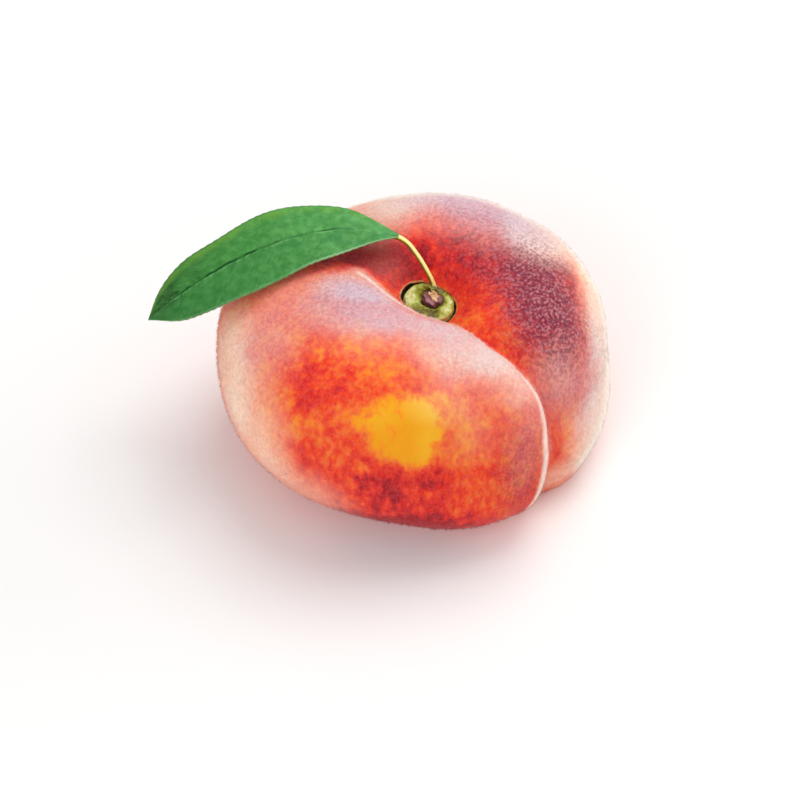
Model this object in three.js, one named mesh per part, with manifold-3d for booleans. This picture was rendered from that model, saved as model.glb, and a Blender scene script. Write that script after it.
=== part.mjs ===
// A flat (doughnut) peach as picked, with its stalk end and one leaf.
//
// Millimetres, +Z up. The fruit rests on the flat spot round its blossom end,
// at z = 0. The shapes are worked out about the fruit's own axis, and the
// whole peach is then moved so that the origin is the middle of its base box.

import * as THREE from 'three';
import { mergeVertices } from 'three/addons/utils/BufferGeometryUtils.js';
import Module from 'manifold-3d';

const wasm = await Module();
wasm.setup();

// ---- driving dimensions ---------------------------------------------------

// The fruit's axis, seen from the middle of the peach's base box.
const FRUIT_AXIS = [6.5, 0.1];

const FRUIT = {
  halfLength: 38.1,
  halfWidth: 33.5,
  turn: 8.3, // degrees, of the long way from +X
  centreHeight: 21,
  top: 24.5, // half height above the centre, before the stalk pit
  under: 22.8, // half height below it, before the flat spot
  squareness: 2.65, // 2 is an ellipsoid, more is a fuller edge
  sidesRound: 108,
  sidesUp: 36,
};

// Swellings of the flesh, and below 0 a hollow: azimuth, elevation and spread
// in degrees, height in millimetres.
const SWELLINGS = [
  { azimuth: -22, elevation: -25, height: 3.3, spread: 26 },
  { azimuth: -68, elevation: -22, height: 2.7, spread: 22 },
  { azimuth: -30, elevation: -38, height: 5.5, spread: 16 },
  { azimuth: 60, elevation: 20, height: 0.5, spread: 30 },
  { azimuth: 150, elevation: 5, height: 2.0, spread: 30 },
  { azimuth: -75, elevation: 20, height: -1.5, spread: 22 },
];

// The suture is a valley round the fruit in an upright plane. Each row gives
// the angle round that plane (0 up, 90 out at the suture, 180 down), the
// valley's depth, how far its line strays, and the width of its steep front
// bank and of its long rear bank, in degrees.
const SUTURE_AZIMUTH = -38.8;
const FRONT_BANK = 2.0; // 2 is a round bank, 1 a straight one
const REAR_BANK = 1.5;
const SUTURE = [
  { at: -180, depth: 1.0, stray: 0.0, front: 14, rear: 14 },
  { at: -90, depth: 1.6, stray: 0.0, front: 16, rear: 18 },
  { at: -40, depth: 5.0, stray: 1.6, front: 18, rear: 28 },
  { at: 0, depth: 5.2, stray: 3.0, front: 13, rear: 38 },
  { at: 45, depth: 9.2, stray: 2.5, front: 7.0, rear: 24 },
  { at: 57, depth: 8.8, stray: 4.3, front: 6.5, rear: 23 },
  { at: 70, depth: 7.6, stray: 5.4, front: 6.4, rear: 22 },
  { at: 90, depth: 5.8, stray: 3.6, front: 6.0, rear: 25 },
  { at: 110, depth: 4.3, stray: 0.6, front: 6.4, rear: 14 },
  { at: 135, depth: 1.9, stray: 1.0, front: 6.0, rear: 12 },
];

const STALK_PIT = { x: 4.4, y: 2.6, depth: 9, width: 9.5 };
const BLOSSOM_DIMPLE = { depth: 2.2, radius: 8 };
const FLAT_SPOT_BLEND = 0.9; // the base turns flat over twice this depth

// The stalk's knob stands in a socket of its own outline, a little wider.
const COLLAR = { x: 2.5, y: 1.5, radius: 4.6, foot: 30.4, height: 4.4 };
const COLLAR_LOBES = { count: 2, turn: -28, swell: 0.08, sides: 36 };
const SOCKET = { clearance: 0.8, chamfer: 0.8, above: 14 };
const BROKEN_END = { x: 0.9, y: 1.1, radius: 2.1, depth: 1.0, proud: 0.7, sides: 18, holeSides: 20 };
// How high the broken face is crumpled, and how closely its folds lie each way.
const CRUMPLE = { height: 0.22, alongX: 3.1, alongY: 2.6, shift: 0.7 };

// The knob's side and top: share of its radius, share of its height.
const KNOB_PROFILE = [
  [0, 0],
  [0.82, 0],
  [0.95, 0.15],
  [1, 0.4],
  [0.97, 0.62],
  [0.86, 0.82],
  [0.7, 0.95],
  [0.5, 1],
  [0, 1],
];

const PETIOLE = { radius: 0.55, sides: 10, steps: 28 };
const PETIOLE_PATH = [
  [3.5, 5.3, 35.6],
  [2.9, 6.1, 37.0],
  [1.5, 7.7, 39.1],
  [-0.3, 9.5, 41.1],
  [-2.0, 10.7, 42.5],
  [-2.8, 11.1, 43.0],
];

// The blade's midrib from base to tip, with its half widths at these shares
// of its length. Both halves slope down from the midrib.
const MIDRIB = [
  [-3.3, 11.3, 43.6],
  [-8.6, 11.2, 45.0],
  [-14.9, 10.9, 45.8],
  [-21.9, 9.4, 45.7],
  [-27.6, 7.7, 44.8],
  [-33.4, 5.9, 43.1],
  [-40.1, 3.4, 40.4],
  [-45.9, 0.7, 37.5],
  [-51.3, -2.2, 34.0],
];
const BLADE = {
  widthAt: [0, 0.07, 0.2, 0.35, 0.5, 0.65, 0.8, 0.92, 1],
  rear: [0.6, 2.1, 5.7, 8.1, 8.4, 7.3, 6.0, 3.3, 0.3],
  front: [0.6, 2.3, 5.5, 7.4, 8.4, 8.4, 7.0, 4.3, 0.3],
  slope: 7, // degrees below level
  edge: 0.65, // thickness at the edge
  rib: 1.3, // and at the midrib
  teeth: 36,
  toothDepth: 0.25,
  toothPeak: 0.7, // share of a tooth's length from its foot to its point
  wave: 0.2,
  waves: 3,
  bareBase: 1 / 6, // share of the length over which teeth grow to full size
  bareTip: 1 / 8,
  ribTaper: 0.7, // share of the rib's depth lost by the tip
  lean: 0.12, // of the thickness from upright, to the tip side
  columns: 4, // on each side of the midrib
};

const GAP = 0.3; // air between neighbouring pieces
const WELD = 1e-4; // vertices nearer than this are one
const HALVINGS = 30; // steps of a search for a place on a curve

// ---- helpers --------------------------------------------------------------

const radians = THREE.MathUtils.degToRad;
const degrees = THREE.MathUtils.radToDeg;
const lerp = THREE.MathUtils.lerp;

/** Positions and faces only, with the vertices that coincide made one. */
function welded(geometry) {
  geometry.deleteAttribute('normal');
  geometry.deleteAttribute('uv');
  return mergeVertices(geometry, WELD);
}

/** A closed geometry as a manifold solid. */
function solid(geometry) {
  const { position } = geometry.attributes;
  return new wasm.Manifold(new wasm.Mesh({
    numProp: 3,
    vertProperties: new Float32Array(position.array),
    triVerts: new Uint32Array(geometry.index.array),
  }));
}

/** One geometry with another cut out of it. */
function cut(geometry, tool) {
  const mesh = solid(geometry).subtract(solid(tool)).getMesh();
  const result = new THREE.BufferGeometry();
  result.setAttribute('position', new THREE.BufferAttribute(mesh.vertProperties, 3));
  result.setIndex(new THREE.BufferAttribute(mesh.triVerts, 1));
  return result;
}

/** The direction at an azimuth and elevation given in degrees. */
function direction(azimuth, elevation) {
  const [a, e] = [radians(azimuth), radians(elevation)];
  return new THREE.Vector3(Math.cos(e) * Math.cos(a), Math.cos(e) * Math.sin(a), Math.sin(e));
}

/** The row of a table round a full circle, eased between its two nearest. */
function rowAt(table, angle) {
  const first = table[0].at;
  const turned = THREE.MathUtils.euclideanModulo(angle - first, 360) + first;
  let i = table.length - 1;
  while (table[i].at > turned) i -= 1;
  const from = table[i];
  const to = table[(i + 1) % table.length];
  const span = THREE.MathUtils.euclideanModulo(to.at - from.at, 360);
  const t = THREE.MathUtils.smoothstep((turned - from.at) / span, 0, 1);
  return Object.fromEntries(
    Object.keys(from).map((key) => [key, lerp(from[key], to[key], t)]),
  );
}

// ---- fruit ----------------------------------------------------------------

/** How deep the suture lies under the full form, seen along a direction. */
function sutureDepth(d) {
  const azimuth = radians(SUTURE_AZIMUTH);
  const along = d.x * Math.cos(azimuth) + d.y * Math.sin(azimuth);
  const across = d.y * Math.cos(azimuth) - d.x * Math.sin(azimuth);
  const row = rowAt(SUTURE, degrees(Math.atan2(along, d.z)));
  const off = degrees(Math.asin(THREE.MathUtils.clamp(across, -1, 1))) - row.stray;
  const [width, bank] = off < 0 ? [row.front, FRONT_BANK] : [row.rear, REAR_BANK];
  return row.depth * Math.exp(-((Math.abs(off) / width) ** bank));
}

/** The level at which the base is pressed flat, blended in smoothly. */
function pressedFlat(z) {
  const blend = FLAT_SPOT_BLEND;
  if (z > blend) return z;
  return z < -blend ? 0 : (z + blend) ** 2 / (4 * blend);
}

/** The fruit's skin along a direction from its centre. */
function fruitPoint(d) {
  const turn = radians(FRUIT.turn);
  const along = (d.x * Math.cos(turn) + d.y * Math.sin(turn)) / FRUIT.halfLength;
  const across = (d.y * Math.cos(turn) - d.x * Math.sin(turn)) / FRUIT.halfWidth;
  const upright = Math.abs(d.z) / (d.z > 0 ? FRUIT.top : FRUIT.under);
  const n = FRUIT.squareness;
  const body = (Math.hypot(along, across) ** n + upright ** n) ** (-1 / n);

  let reach = body;
  for (const { azimuth, elevation, height, spread } of SWELLINGS) {
    const apart = degrees(d.angleTo(direction(azimuth, elevation)));
    reach += height * Math.exp(-((apart / spread) ** 2));
  }
  reach -= sutureDepth(d);

  const point = d.clone().multiplyScalar(reach);
  point.z += FRUIT.centreHeight;
  if (d.z > 0) {
    const fromPit = Math.hypot(d.x * body - STALK_PIT.x, d.y * body - STALK_PIT.y);
    point.z -= STALK_PIT.depth * Math.exp(-((fromPit / STALK_PIT.width) ** 2));
    return point;
  }
  point.z = pressedFlat(point.z);
  const share = Math.min(Math.hypot(point.x, point.y) / BLOSSOM_DIMPLE.radius, 1);
  point.z += BLOSSOM_DIMPLE.depth * (1 - share ** 2) ** 2;
  return point;
}

/** A turned form with the knob's lobes, on the knob's axis. */
function lobed(profile) {
  const points = profile.map(([r, z]) => new THREE.Vector2(r, z));
  const geometry = new THREE.LatheGeometry(points, COLLAR_LOBES.sides).rotateX(Math.PI / 2);
  const { position } = geometry.attributes;
  const p = new THREE.Vector3();
  for (let i = 0; i < position.count; i += 1) {
    p.fromBufferAttribute(position, i);
    const angle = Math.atan2(p.y, p.x) - radians(COLLAR_LOBES.turn);
    const swell = 1 + COLLAR_LOBES.swell * Math.cos(COLLAR_LOBES.count * angle);
    position.setXYZ(i, COLLAR.x + p.x * swell, COLLAR.y + p.y * swell, p.z);
  }
  return welded(geometry);
}

function fruitGeometry() {
  const skin = new THREE.SphereGeometry(1, FRUIT.sidesRound, FRUIT.sidesUp);
  skin.rotateX(Math.PI / 2).rotateZ(radians(SUTURE_AZIMUTH));
  const { position } = skin.attributes;
  const d = new THREE.Vector3();
  for (let i = 0; i < position.count; i += 1) {
    const point = fruitPoint(d.fromBufferAttribute(position, i).normalize());
    position.setXYZ(i, point.x, point.y, point.z);
  }
  const wide = COLLAR.radius + SOCKET.clearance;
  const floor = COLLAR.foot - GAP;
  const socket = lobed([
    [0, floor],
    [wide - SOCKET.chamfer, floor],
    [wide, floor + SOCKET.chamfer],
    [wide, floor + SOCKET.above],
    [0, floor + SOCKET.above],
  ]);
  return cut(welded(skin), socket);
}

// ---- stalk ----------------------------------------------------------------

function collarGeometry() {
  const { radius, foot, height } = COLLAR;
  const knob = lobed(KNOB_PROFILE.map(([out, up]) => [radius * out, foot + height * up]));
  const wide = BROKEN_END.radius + GAP;
  const deep = 2 * (BROKEN_END.depth + GAP);
  const hole = new THREE.CylinderGeometry(wide, wide, deep, BROKEN_END.holeSides);
  hole.rotateX(Math.PI / 2);
  hole.translate(COLLAR.x + BROKEN_END.x, COLLAR.y + BROKEN_END.y, foot + height);
  return cut(knob, welded(hole));
}

/** The broken face of the stalk: a low, crumpled dome. */
function brokenEndGeometry() {
  const { radius, depth, proud, sides } = BROKEN_END;
  const foot = COLLAR.foot + COLLAR.height - depth;
  const profile = [
    [0, 0],
    [radius * 0.92, 0],
    [radius, depth * 0.5],
    [radius * 0.95, depth],
    [radius * 0.7, depth + proud * 0.75],
    [radius * 0.35, depth + proud],
    [0, depth + proud * 0.8],
  ].map(([r, z]) => new THREE.Vector2(r, z));
  const geometry = new THREE.LatheGeometry(profile, sides).rotateX(Math.PI / 2);
  const { position } = geometry.attributes;
  for (let i = 0; i < position.count; i += 1) {
    const [x, y, z] = [position.getX(i), position.getY(i), position.getZ(i)];
    const folds = Math.sin(CRUMPLE.alongX * x + CRUMPLE.shift) * Math.cos(CRUMPLE.alongY * y);
    if (z > depth) position.setZ(i, z + CRUMPLE.height * folds);
  }
  geometry.translate(COLLAR.x + BROKEN_END.x, COLLAR.y + BROKEN_END.y, foot);
  return welded(geometry);
}

// ---- leaf -----------------------------------------------------------------

function curveThrough(points) {
  return new THREE.CatmullRomCurve3(points.map((p) => new THREE.Vector3(...p)), false, 'centripetal');
}

function petioleGeometry() {
  const round = new THREE.Shape().absarc(0, 0, PETIOLE.radius, 0, 2 * Math.PI);
  const geometry = new THREE.ExtrudeGeometry(round, {
    curveSegments: PETIOLE.sides / 2,
    steps: PETIOLE.steps,
    bevelEnabled: false,
    extrudePath: curveThrough(PETIOLE_PATH),
  });
  return welded(geometry);
}

/** A list of values at the blade's width shares, eased between them. */
function halfWidthAt(widths, share) {
  const curve = new THREE.SplineCurve(
    BLADE.widthAt.map((at, i) => new THREE.Vector2(at, widths[i])),
  );
  let low = 0;
  let high = 1;
  for (let i = 0; i < HALVINGS; i += 1) {
    const middle = (low + high) / 2;
    if (curve.getPoint(middle).x < share) low = middle;
    else high = middle;
  }
  return curve.getPoint(low).y;
}

/** How far a saw tooth stands out at a share of the length, pointing to the tip. */
function toothAt(share) {
  const phase = (share * BLADE.teeth) % 1;
  const peak = BLADE.toothPeak;
  const rise = phase < peak ? phase / peak : (1 - phase) / (1 - peak);
  const faded = Math.min(1, share / BLADE.bareBase, (1 - share) / BLADE.bareTip);
  return BLADE.toothDepth * rise * faded;
}

/** The blade's middle surface and its normal, from rear edge (-1) to front (1). */
function bladePoint(midrib, share, across) {
  const centre = midrib.getPointAt(share);
  const forward = midrib.getTangentAt(share);
  const toRear = forward.clone().cross(new THREE.Vector3(0, 0, 1)).normalize();
  const up = toRear.clone().cross(forward).normalize();
  const side = Math.sign(across) || 1;
  const outward = toRear.clone().multiplyScalar(-side);
  outward.multiplyScalar(Math.cos(radians(BLADE.slope)));
  outward.addScaledVector(up, -Math.sin(radians(BLADE.slope)));
  let reach = halfWidthAt(across < 0 ? BLADE.rear : BLADE.front, share) * Math.abs(across);
  if (Math.abs(across) === 1) reach += toothAt(share);
  const wave = BLADE.wave * Math.abs(across) ** 2 * Math.sin(2 * Math.PI * BLADE.waves * share + side);
  return centre.addScaledVector(outward, reach).addScaledVector(up, wave);
}

function bladeGeometry() {
  const midrib = curveThrough(MIDRIB);
  const rows = BLADE.teeth * 2;
  const columns = 2 * BLADE.columns;
  const positions = [];
  const indices = [];
  const vertex = (row, column, face) => 2 * (row * (columns + 1) + column) + face;
  const up = new THREE.Vector3(BLADE.lean, 0, 1).normalize();
  for (let row = 0; row <= rows; row += 1) {
    for (let column = 0; column <= columns; column += 1) {
      const across = column / BLADE.columns - 1;
      const share = row / rows;
      const middle = bladePoint(midrib, share, across);
      const rib = (BLADE.rib - BLADE.edge) * (1 - BLADE.ribTaper * share) * (across === 0 ? 1 : 0);
      const top = middle.clone().addScaledVector(up, BLADE.edge / 2);
      const bottom = middle.clone().addScaledVector(up, -BLADE.edge / 2 - rib);
      positions.push(...bottom.toArray(), ...top.toArray());
    }
  }
  const quad = (a, b, c, d) => indices.push(a, c, b, a, d, c);
  for (let row = 0; row < rows; row += 1) {
    for (let column = 0; column < columns; column += 1) {
      const [a, b] = [[row, column], [row, column + 1]];
      const [c, d] = [[row + 1, column + 1], [row + 1, column]];
      quad(vertex(...a, 1), vertex(...b, 1), vertex(...c, 1), vertex(...d, 1));
      quad(vertex(...d, 0), vertex(...c, 0), vertex(...b, 0), vertex(...a, 0));
    }
    quad(vertex(row, 0, 0), vertex(row, 0, 1), vertex(row + 1, 0, 1), vertex(row + 1, 0, 0));
    quad(
      vertex(row, columns, 1), vertex(row, columns, 0),
      vertex(row + 1, columns, 0), vertex(row + 1, columns, 1),
    );
  }
  for (let column = 0; column < columns; column += 1) {
    quad(vertex(0, column, 1), vertex(0, column, 0), vertex(0, column + 1, 0), vertex(0, column + 1, 1));
    quad(
      vertex(rows, column, 0), vertex(rows, column, 1),
      vertex(rows, column + 1, 1), vertex(rows, column + 1, 0),
    );
  }
  const geometry = new THREE.BufferGeometry();
  geometry.setAttribute('position', new THREE.Float32BufferAttribute(positions, 3));
  geometry.setIndex(indices);
  return geometry;
}

// ---- the peach ------------------------------------------------------------

function piece(name, geometry, color, roughness) {
  const material = new THREE.MeshStandardMaterial({ color, roughness, metalness: 0 });
  const mesh = new THREE.Mesh(geometry, material);
  mesh.name = name;
  return mesh;
}

const peach = new THREE.Group();
peach.position.set(...FRUIT_AXIS, 0);
peach.add(
  piece('peach_fruit', fruitGeometry(), 0xd9603f, 0.75),
  piece('stalk_collar', collarGeometry(), 0xa9ad4a, 0.6),
  piece('stalk_end', brokenEndGeometry(), 0x6b4038, 0.85),
  piece('leaf_petiole', petioleGeometry(), 0xcfc96a, 0.5),
  piece('leaf_blade', bladeGeometry(), 0x47914c, 0.5),
);

export default peach;
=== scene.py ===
"""A flat peach with its stalk end and one leaf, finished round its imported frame.

All lengths are metres unless a name says otherwise. The fruit's skin follows
one formula, about the fruit's own axis, and everything else sits on it.
"""

import math

import bpy
import numpy as np
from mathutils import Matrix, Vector


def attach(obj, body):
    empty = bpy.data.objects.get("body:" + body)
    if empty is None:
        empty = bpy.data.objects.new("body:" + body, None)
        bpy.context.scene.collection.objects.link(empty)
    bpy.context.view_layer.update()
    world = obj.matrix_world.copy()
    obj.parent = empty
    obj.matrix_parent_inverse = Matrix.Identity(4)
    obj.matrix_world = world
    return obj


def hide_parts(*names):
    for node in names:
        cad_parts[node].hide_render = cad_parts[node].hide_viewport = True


bl_info = {
    "name": "Flat Peach",
    "version": (1, 0, 0),
    "blender": (4, 5, 0),
    "location": "3D Viewport > Sidebar > Peach",
    "description": "Models a downy flat peach with its stalk end and leaf",
    "category": "Object",
}

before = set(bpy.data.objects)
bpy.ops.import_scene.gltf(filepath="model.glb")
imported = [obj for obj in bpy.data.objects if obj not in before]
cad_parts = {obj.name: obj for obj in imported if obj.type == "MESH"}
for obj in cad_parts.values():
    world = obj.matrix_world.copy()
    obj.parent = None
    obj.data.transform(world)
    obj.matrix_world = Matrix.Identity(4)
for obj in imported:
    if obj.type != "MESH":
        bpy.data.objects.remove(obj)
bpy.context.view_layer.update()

MM = 0.001
BODY = "root"
SEED = 7

# ---- the fruit's form, in millimetres and degrees --------------------------

FRUIT_AXIS = (6.5, 0.1)
FORM = {
    "half_length": 38.1, "half_width": 33.5, "turn": 8.3, "centre": 21.0,
    "top": 24.5, "under": 22.8, "squareness": 2.65,
}
# azimuth, elevation, height, spread
SWELLINGS = (
    (-22, -25, 3.3, 26), (-68, -22, 2.7, 22), (-30, -38, 5.5, 16),
    (60, 20, 0.5, 30), (150, 5, 2.0, 30), (-75, 20, -1.5, 22),
)
SUTURE_AZIMUTH = -38.8
FRONT_BANK, REAR_BANK = 2.0, 1.5
# angle round the suture's plane, depth, stray, front width, rear width
SUTURE = np.array((
    (-180, 1.0, 0.0, 14, 14), (-90, 1.6, 0.0, 16, 18), (-40, 5.0, 1.6, 18, 28),
    (0, 5.2, 3.0, 13, 38), (45, 9.2, 2.5, 7.0, 24), (57, 8.8, 4.3, 6.5, 23),
    (70, 7.6, 5.4, 6.4, 22), (90, 5.8, 3.6, 6.0, 25), (110, 4.3, 0.6, 6.4, 14),
    (135, 1.9, 1.0, 6.0, 12),
))
PIT = {"x": 4.4, "y": 2.6, "depth": 9.0, "width": 9.5}
DIMPLE = {"depth": 2.2, "radius": 8.0}
FLAT_BLEND = 0.9
COLLAR = {"x": 2.5, "y": 1.5, "radius": 4.6, "foot": 30.4, "height": 4.4}
LOBES = {"count": 2, "turn": -28.0, "swell": 0.08}
SOCKET = {"clearance": 0.15, "floor": 30.2, "wall": 0.25, "lip": 0.25, "lip_width": 0.3}


def eased_rows(angle):
    """The suture's depth, stray and two widths at each angle, in degrees."""
    at = SUTURE[:, 0]
    turned = np.mod(angle - at[0], 360) + at[0]
    low = np.clip(np.searchsorted(at, turned, side="right") - 1, 0, len(at) - 1)
    high = (low + 1) % len(at)
    span = np.mod(at[high] - at[low], 360)
    t = (turned - at[low]) / span
    t = (t * t * (3 - 2 * t))[..., None]
    return SUTURE[low, 1:] * (1 - t) + SUTURE[high, 1:] * t


def smooth_step(low, high, value):
    t = np.clip((value - low) / (high - low), 0, 1)
    return t * t * (3 - 2 * t)


def lobe_factor(x, y):
    """How far the knob's lobes swell its outline round its own axis."""
    angle = np.arctan2(y, x) - math.radians(LOBES["turn"])
    return 1 + LOBES["swell"] * np.cos(LOBES["count"] * angle)


def suture_depth(d):
    azimuth = math.radians(SUTURE_AZIMUTH)
    along = d[:, 0] * math.cos(azimuth) + d[:, 1] * math.sin(azimuth)
    across = d[:, 1] * math.cos(azimuth) - d[:, 0] * math.sin(azimuth)
    depth, stray, front, rear = eased_rows(np.degrees(np.arctan2(along, d[:, 2]))).T
    off = np.degrees(np.arcsin(np.clip(across, -1, 1))) - stray
    width = np.where(off < 0, front, rear)
    bank = np.where(off < 0, FRONT_BANK, REAR_BANK)
    return depth * np.exp(-((np.abs(off) / width) ** bank))


def fruit_points(d):
    """The skin along unit directions from the fruit's centre, in metres."""
    turn = math.radians(FORM["turn"])
    along = (d[:, 0] * math.cos(turn) + d[:, 1] * math.sin(turn)) / FORM["half_length"]
    across = (d[:, 1] * math.cos(turn) - d[:, 0] * math.sin(turn)) / FORM["half_width"]
    upright = np.abs(d[:, 2]) / np.where(d[:, 2] > 0, FORM["top"], FORM["under"])
    n = FORM["squareness"]
    body = (np.hypot(along, across) ** n + upright ** n) ** (-1 / n)
    reach = body.copy()
    for azimuth, elevation, height, spread in SWELLINGS:
        a, e = math.radians(azimuth), math.radians(elevation)
        pole = np.array((math.cos(e) * math.cos(a), math.cos(e) * math.sin(a), math.sin(e)))
        apart = np.degrees(np.arccos(np.clip(d @ pole, -1, 1)))
        reach += height * np.exp(-((apart / spread) ** 2))
    reach -= suture_depth(d)
    p = d * reach[:, None]
    p[:, 2] += FORM["centre"]
    upper = d[:, 2] > 0
    off_pit = np.hypot(d[:, 0] * body - PIT["x"], d[:, 1] * body - PIT["y"])
    p[:, 2] -= np.where(upper, PIT["depth"] * np.exp(-((off_pit / PIT["width"]) ** 2)), 0)
    z = p[:, 2]
    blended = (z + FLAT_BLEND) ** 2 / (4 * FLAT_BLEND)
    pressed = np.where(z > FLAT_BLEND, z, np.where(z < -FLAT_BLEND, 0, blended))
    share = np.minimum(np.hypot(p[:, 0], p[:, 1]) / DIMPLE["radius"], 1)
    dimple = DIMPLE["depth"] * (1 - share ** 2) ** 2
    p[:, 2] = np.where(upper, z, pressed + dimple)
    p = sink_socket(p, upper)
    p[:, 0] += FRUIT_AXIS[0]
    p[:, 1] += FRUIT_AXIS[1]
    return p * MM


def sink_socket(p, upper):
    """Let the stalk's socket down into the pit, with a small lip round it."""
    x, y = p[:, 0] - COLLAR["x"], p[:, 1] - COLLAR["y"]
    rim = (COLLAR["radius"] + SOCKET["clearance"]) * lobe_factor(x, y)
    out = np.hypot(x, y) - rim
    inside = np.where(upper, 1 - smooth_step(0, SOCKET["wall"], out), 0)
    lip_at = SOCKET["wall"] + SOCKET["lip_width"]
    lip = SOCKET["lip"] * np.exp(-(((out - lip_at) / SOCKET["lip_width"]) ** 2))
    p[:, 2] += np.where(upper, lip, 0)
    p[:, 2] += inside * (SOCKET["floor"] - p[:, 2])
    return p


# ---- mesh helpers -----------------------------------------------------------

def deselect_all():
    bpy.ops.object.select_all(action="DESELECT")


def coordinates(mesh):
    flat = np.empty(len(mesh.vertices) * 3)
    mesh.vertices.foreach_get("co", flat)
    return flat.reshape(-1, 3)


def set_coordinates(mesh, points):
    mesh.vertices.foreach_set("co", np.ascontiguousarray(points, dtype=np.float64).ravel())
    mesh.update()


def active_piece(name):
    """The primitive that was just added, under its own name."""
    piece = bpy.context.object
    piece.name = piece.data.name = name
    return piece


def shade_smooth(piece):
    piece.data.polygons.foreach_set("use_smooth", [True] * len(piece.data.polygons))
    piece.data.update()


def mesh_piece(name, points, faces):
    """A piece of triangles or of quads, from arrays of points and of corners."""
    faces = np.asarray(faces, dtype=np.int32)
    count, corners = faces.shape
    mesh = bpy.data.meshes.new(name)
    mesh.vertices.add(len(points))
    mesh.loops.add(count * corners)
    mesh.polygons.add(count)
    mesh.loops.foreach_set("vertex_index", faces.ravel())
    mesh.polygons.foreach_set("loop_start", np.arange(0, count * corners, corners, dtype=np.int32))
    set_coordinates(mesh, points)
    mesh.validate()
    piece = bpy.data.objects.new(name, mesh)
    bpy.context.scene.collection.objects.link(piece)
    return piece


def quad_ball(name, first_cuts, second_cuts):
    """A cube cut into even squares, as directions out to a ball."""
    deselect_all()
    bpy.ops.mesh.primitive_cube_add(size=2.0, location=(0, 0, 0))
    ball = active_piece(name)
    bpy.ops.object.mode_set(mode="EDIT")
    bpy.ops.mesh.select_all(action="SELECT")
    bpy.ops.mesh.subdivide(number_cuts=first_cuts)
    bpy.ops.mesh.subdivide(number_cuts=second_cuts)
    bpy.ops.object.mode_set(mode="OBJECT")
    even = np.tan(coordinates(ball.data) * math.pi / 4)
    return ball, even / np.linalg.norm(even, axis=1, keepdims=True)


def roughened(piece, name, size_mm, depth_mm):
    """Push a piece's surface in and out by soft noise."""
    noise = bpy.data.textures.new(name, "CLOUDS")
    noise.noise_scale = size_mm * MM
    deselect_all()
    piece.select_set(True)
    bpy.context.view_layer.objects.active = piece
    modifier = piece.modifiers.new(name, "DISPLACE")
    modifier.texture = noise
    modifier.texture_coords = "LOCAL"
    modifier.strength = depth_mm * MM
    modifier.mid_level = 0.5
    bpy.ops.object.modifier_apply(modifier=modifier.name)


def hand_over(piece, material, node=None):
    """Give a finished piece its material and its body, and hide the imported part that it stands for."""
    piece.data.materials.clear()
    piece.data.materials.append(material)
    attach(piece, BODY)
    if node is not None:
        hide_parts(node)
    return piece


# ---- material helpers -------------------------------------------------------

def srgb(red, green, blue):
    """A display colour, 0 to 255, as the linear colour that shaders use."""
    def linear(value):
        value /= 255
        return value / 12.92 if value <= 0.04045 else ((value + 0.055) / 1.055) ** 2.4
    return (linear(red), linear(green), linear(blue), 1.0)


def add_node(tree, kind, inputs=None, **settings):
    made = tree.nodes.new(kind)
    for key, value in settings.items():
        setattr(made, key, value)
    for key, value in (inputs or {}).items():
        if isinstance(value, bpy.types.NodeSocket):
            tree.links.new(value, made.inputs[key])
        else:
            made.inputs[key].default_value = value
    return made


def maths(tree, operation, first, second=0.0, clamp=False):
    made = add_node(tree, "ShaderNodeMath", {0: first, 1: second}, operation=operation)
    made.use_clamp = clamp
    return made.outputs[0]


def vector_maths(tree, operation, first, second=(0.0, 0.0, 0.0)):
    made = add_node(tree, "ShaderNodeVectorMath", {0: first, 1: second}, operation=operation)
    return made.outputs["Value" if operation in ("DOT_PRODUCT", "LENGTH") else "Vector"]


def blended(tree, share, first, second):
    """The colour a share of the way from the first to the second."""
    made = add_node(tree, "ShaderNodeMix", data_type="RGBA", clamp_factor=True)
    for socket, value in ((made.inputs[0], share), (made.inputs[6], first), (made.inputs[7], second)):
        if isinstance(value, bpy.types.NodeSocket):
            tree.links.new(value, socket)
        else:
            socket.default_value = value
    return made.outputs[2]


def ramp(tree, value, stops, smooth=False):
    made = add_node(tree, "ShaderNodeValToRGB", {0: value})
    made.color_ramp.interpolation = "EASE" if smooth else "LINEAR"
    elements = made.color_ramp.elements
    while len(elements) < len(stops):
        elements.new(0.5)
    for element, (at, colour) in zip(elements, stops):
        element.position = at
        element.color = colour
    return made.outputs[0]


def remapped(tree, value, low, high, to_low=0.0, to_high=1.0, smooth=True):
    kind = "SMOOTHSTEP" if smooth else "LINEAR"
    made = add_node(
        tree, "ShaderNodeMapRange",
        {0: value, 1: low, 2: high, 3: to_low, 4: to_high}, interpolation_type=kind,
    )
    return made.outputs[0]


def new_material(name):
    material = bpy.data.materials.new(name)
    material.use_nodes = True
    tree = material.node_tree
    shader = next(n for n in tree.nodes if n.bl_idname == "ShaderNodeBsdfPrincipled")
    return material, tree, shader


def make_group(name, sockets_in, sockets_out):
    group = bpy.data.node_groups.new(name, "ShaderNodeTree")
    for label, kind, default in sockets_in:
        socket = group.interface.new_socket(label, in_out="INPUT", socket_type=kind)
        if default is not None:
            socket.default_value = default
    for label, kind in sockets_out:
        group.interface.new_socket(label, in_out="OUTPUT", socket_type=kind)
    start = group.nodes.new("NodeGroupInput")
    end = group.nodes.new("NodeGroupOutput")
    return group, start.outputs, end.inputs


FLOAT, VECTOR, COLOUR = "NodeSocketFloat", "NodeSocketVector", "NodeSocketColor"


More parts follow.
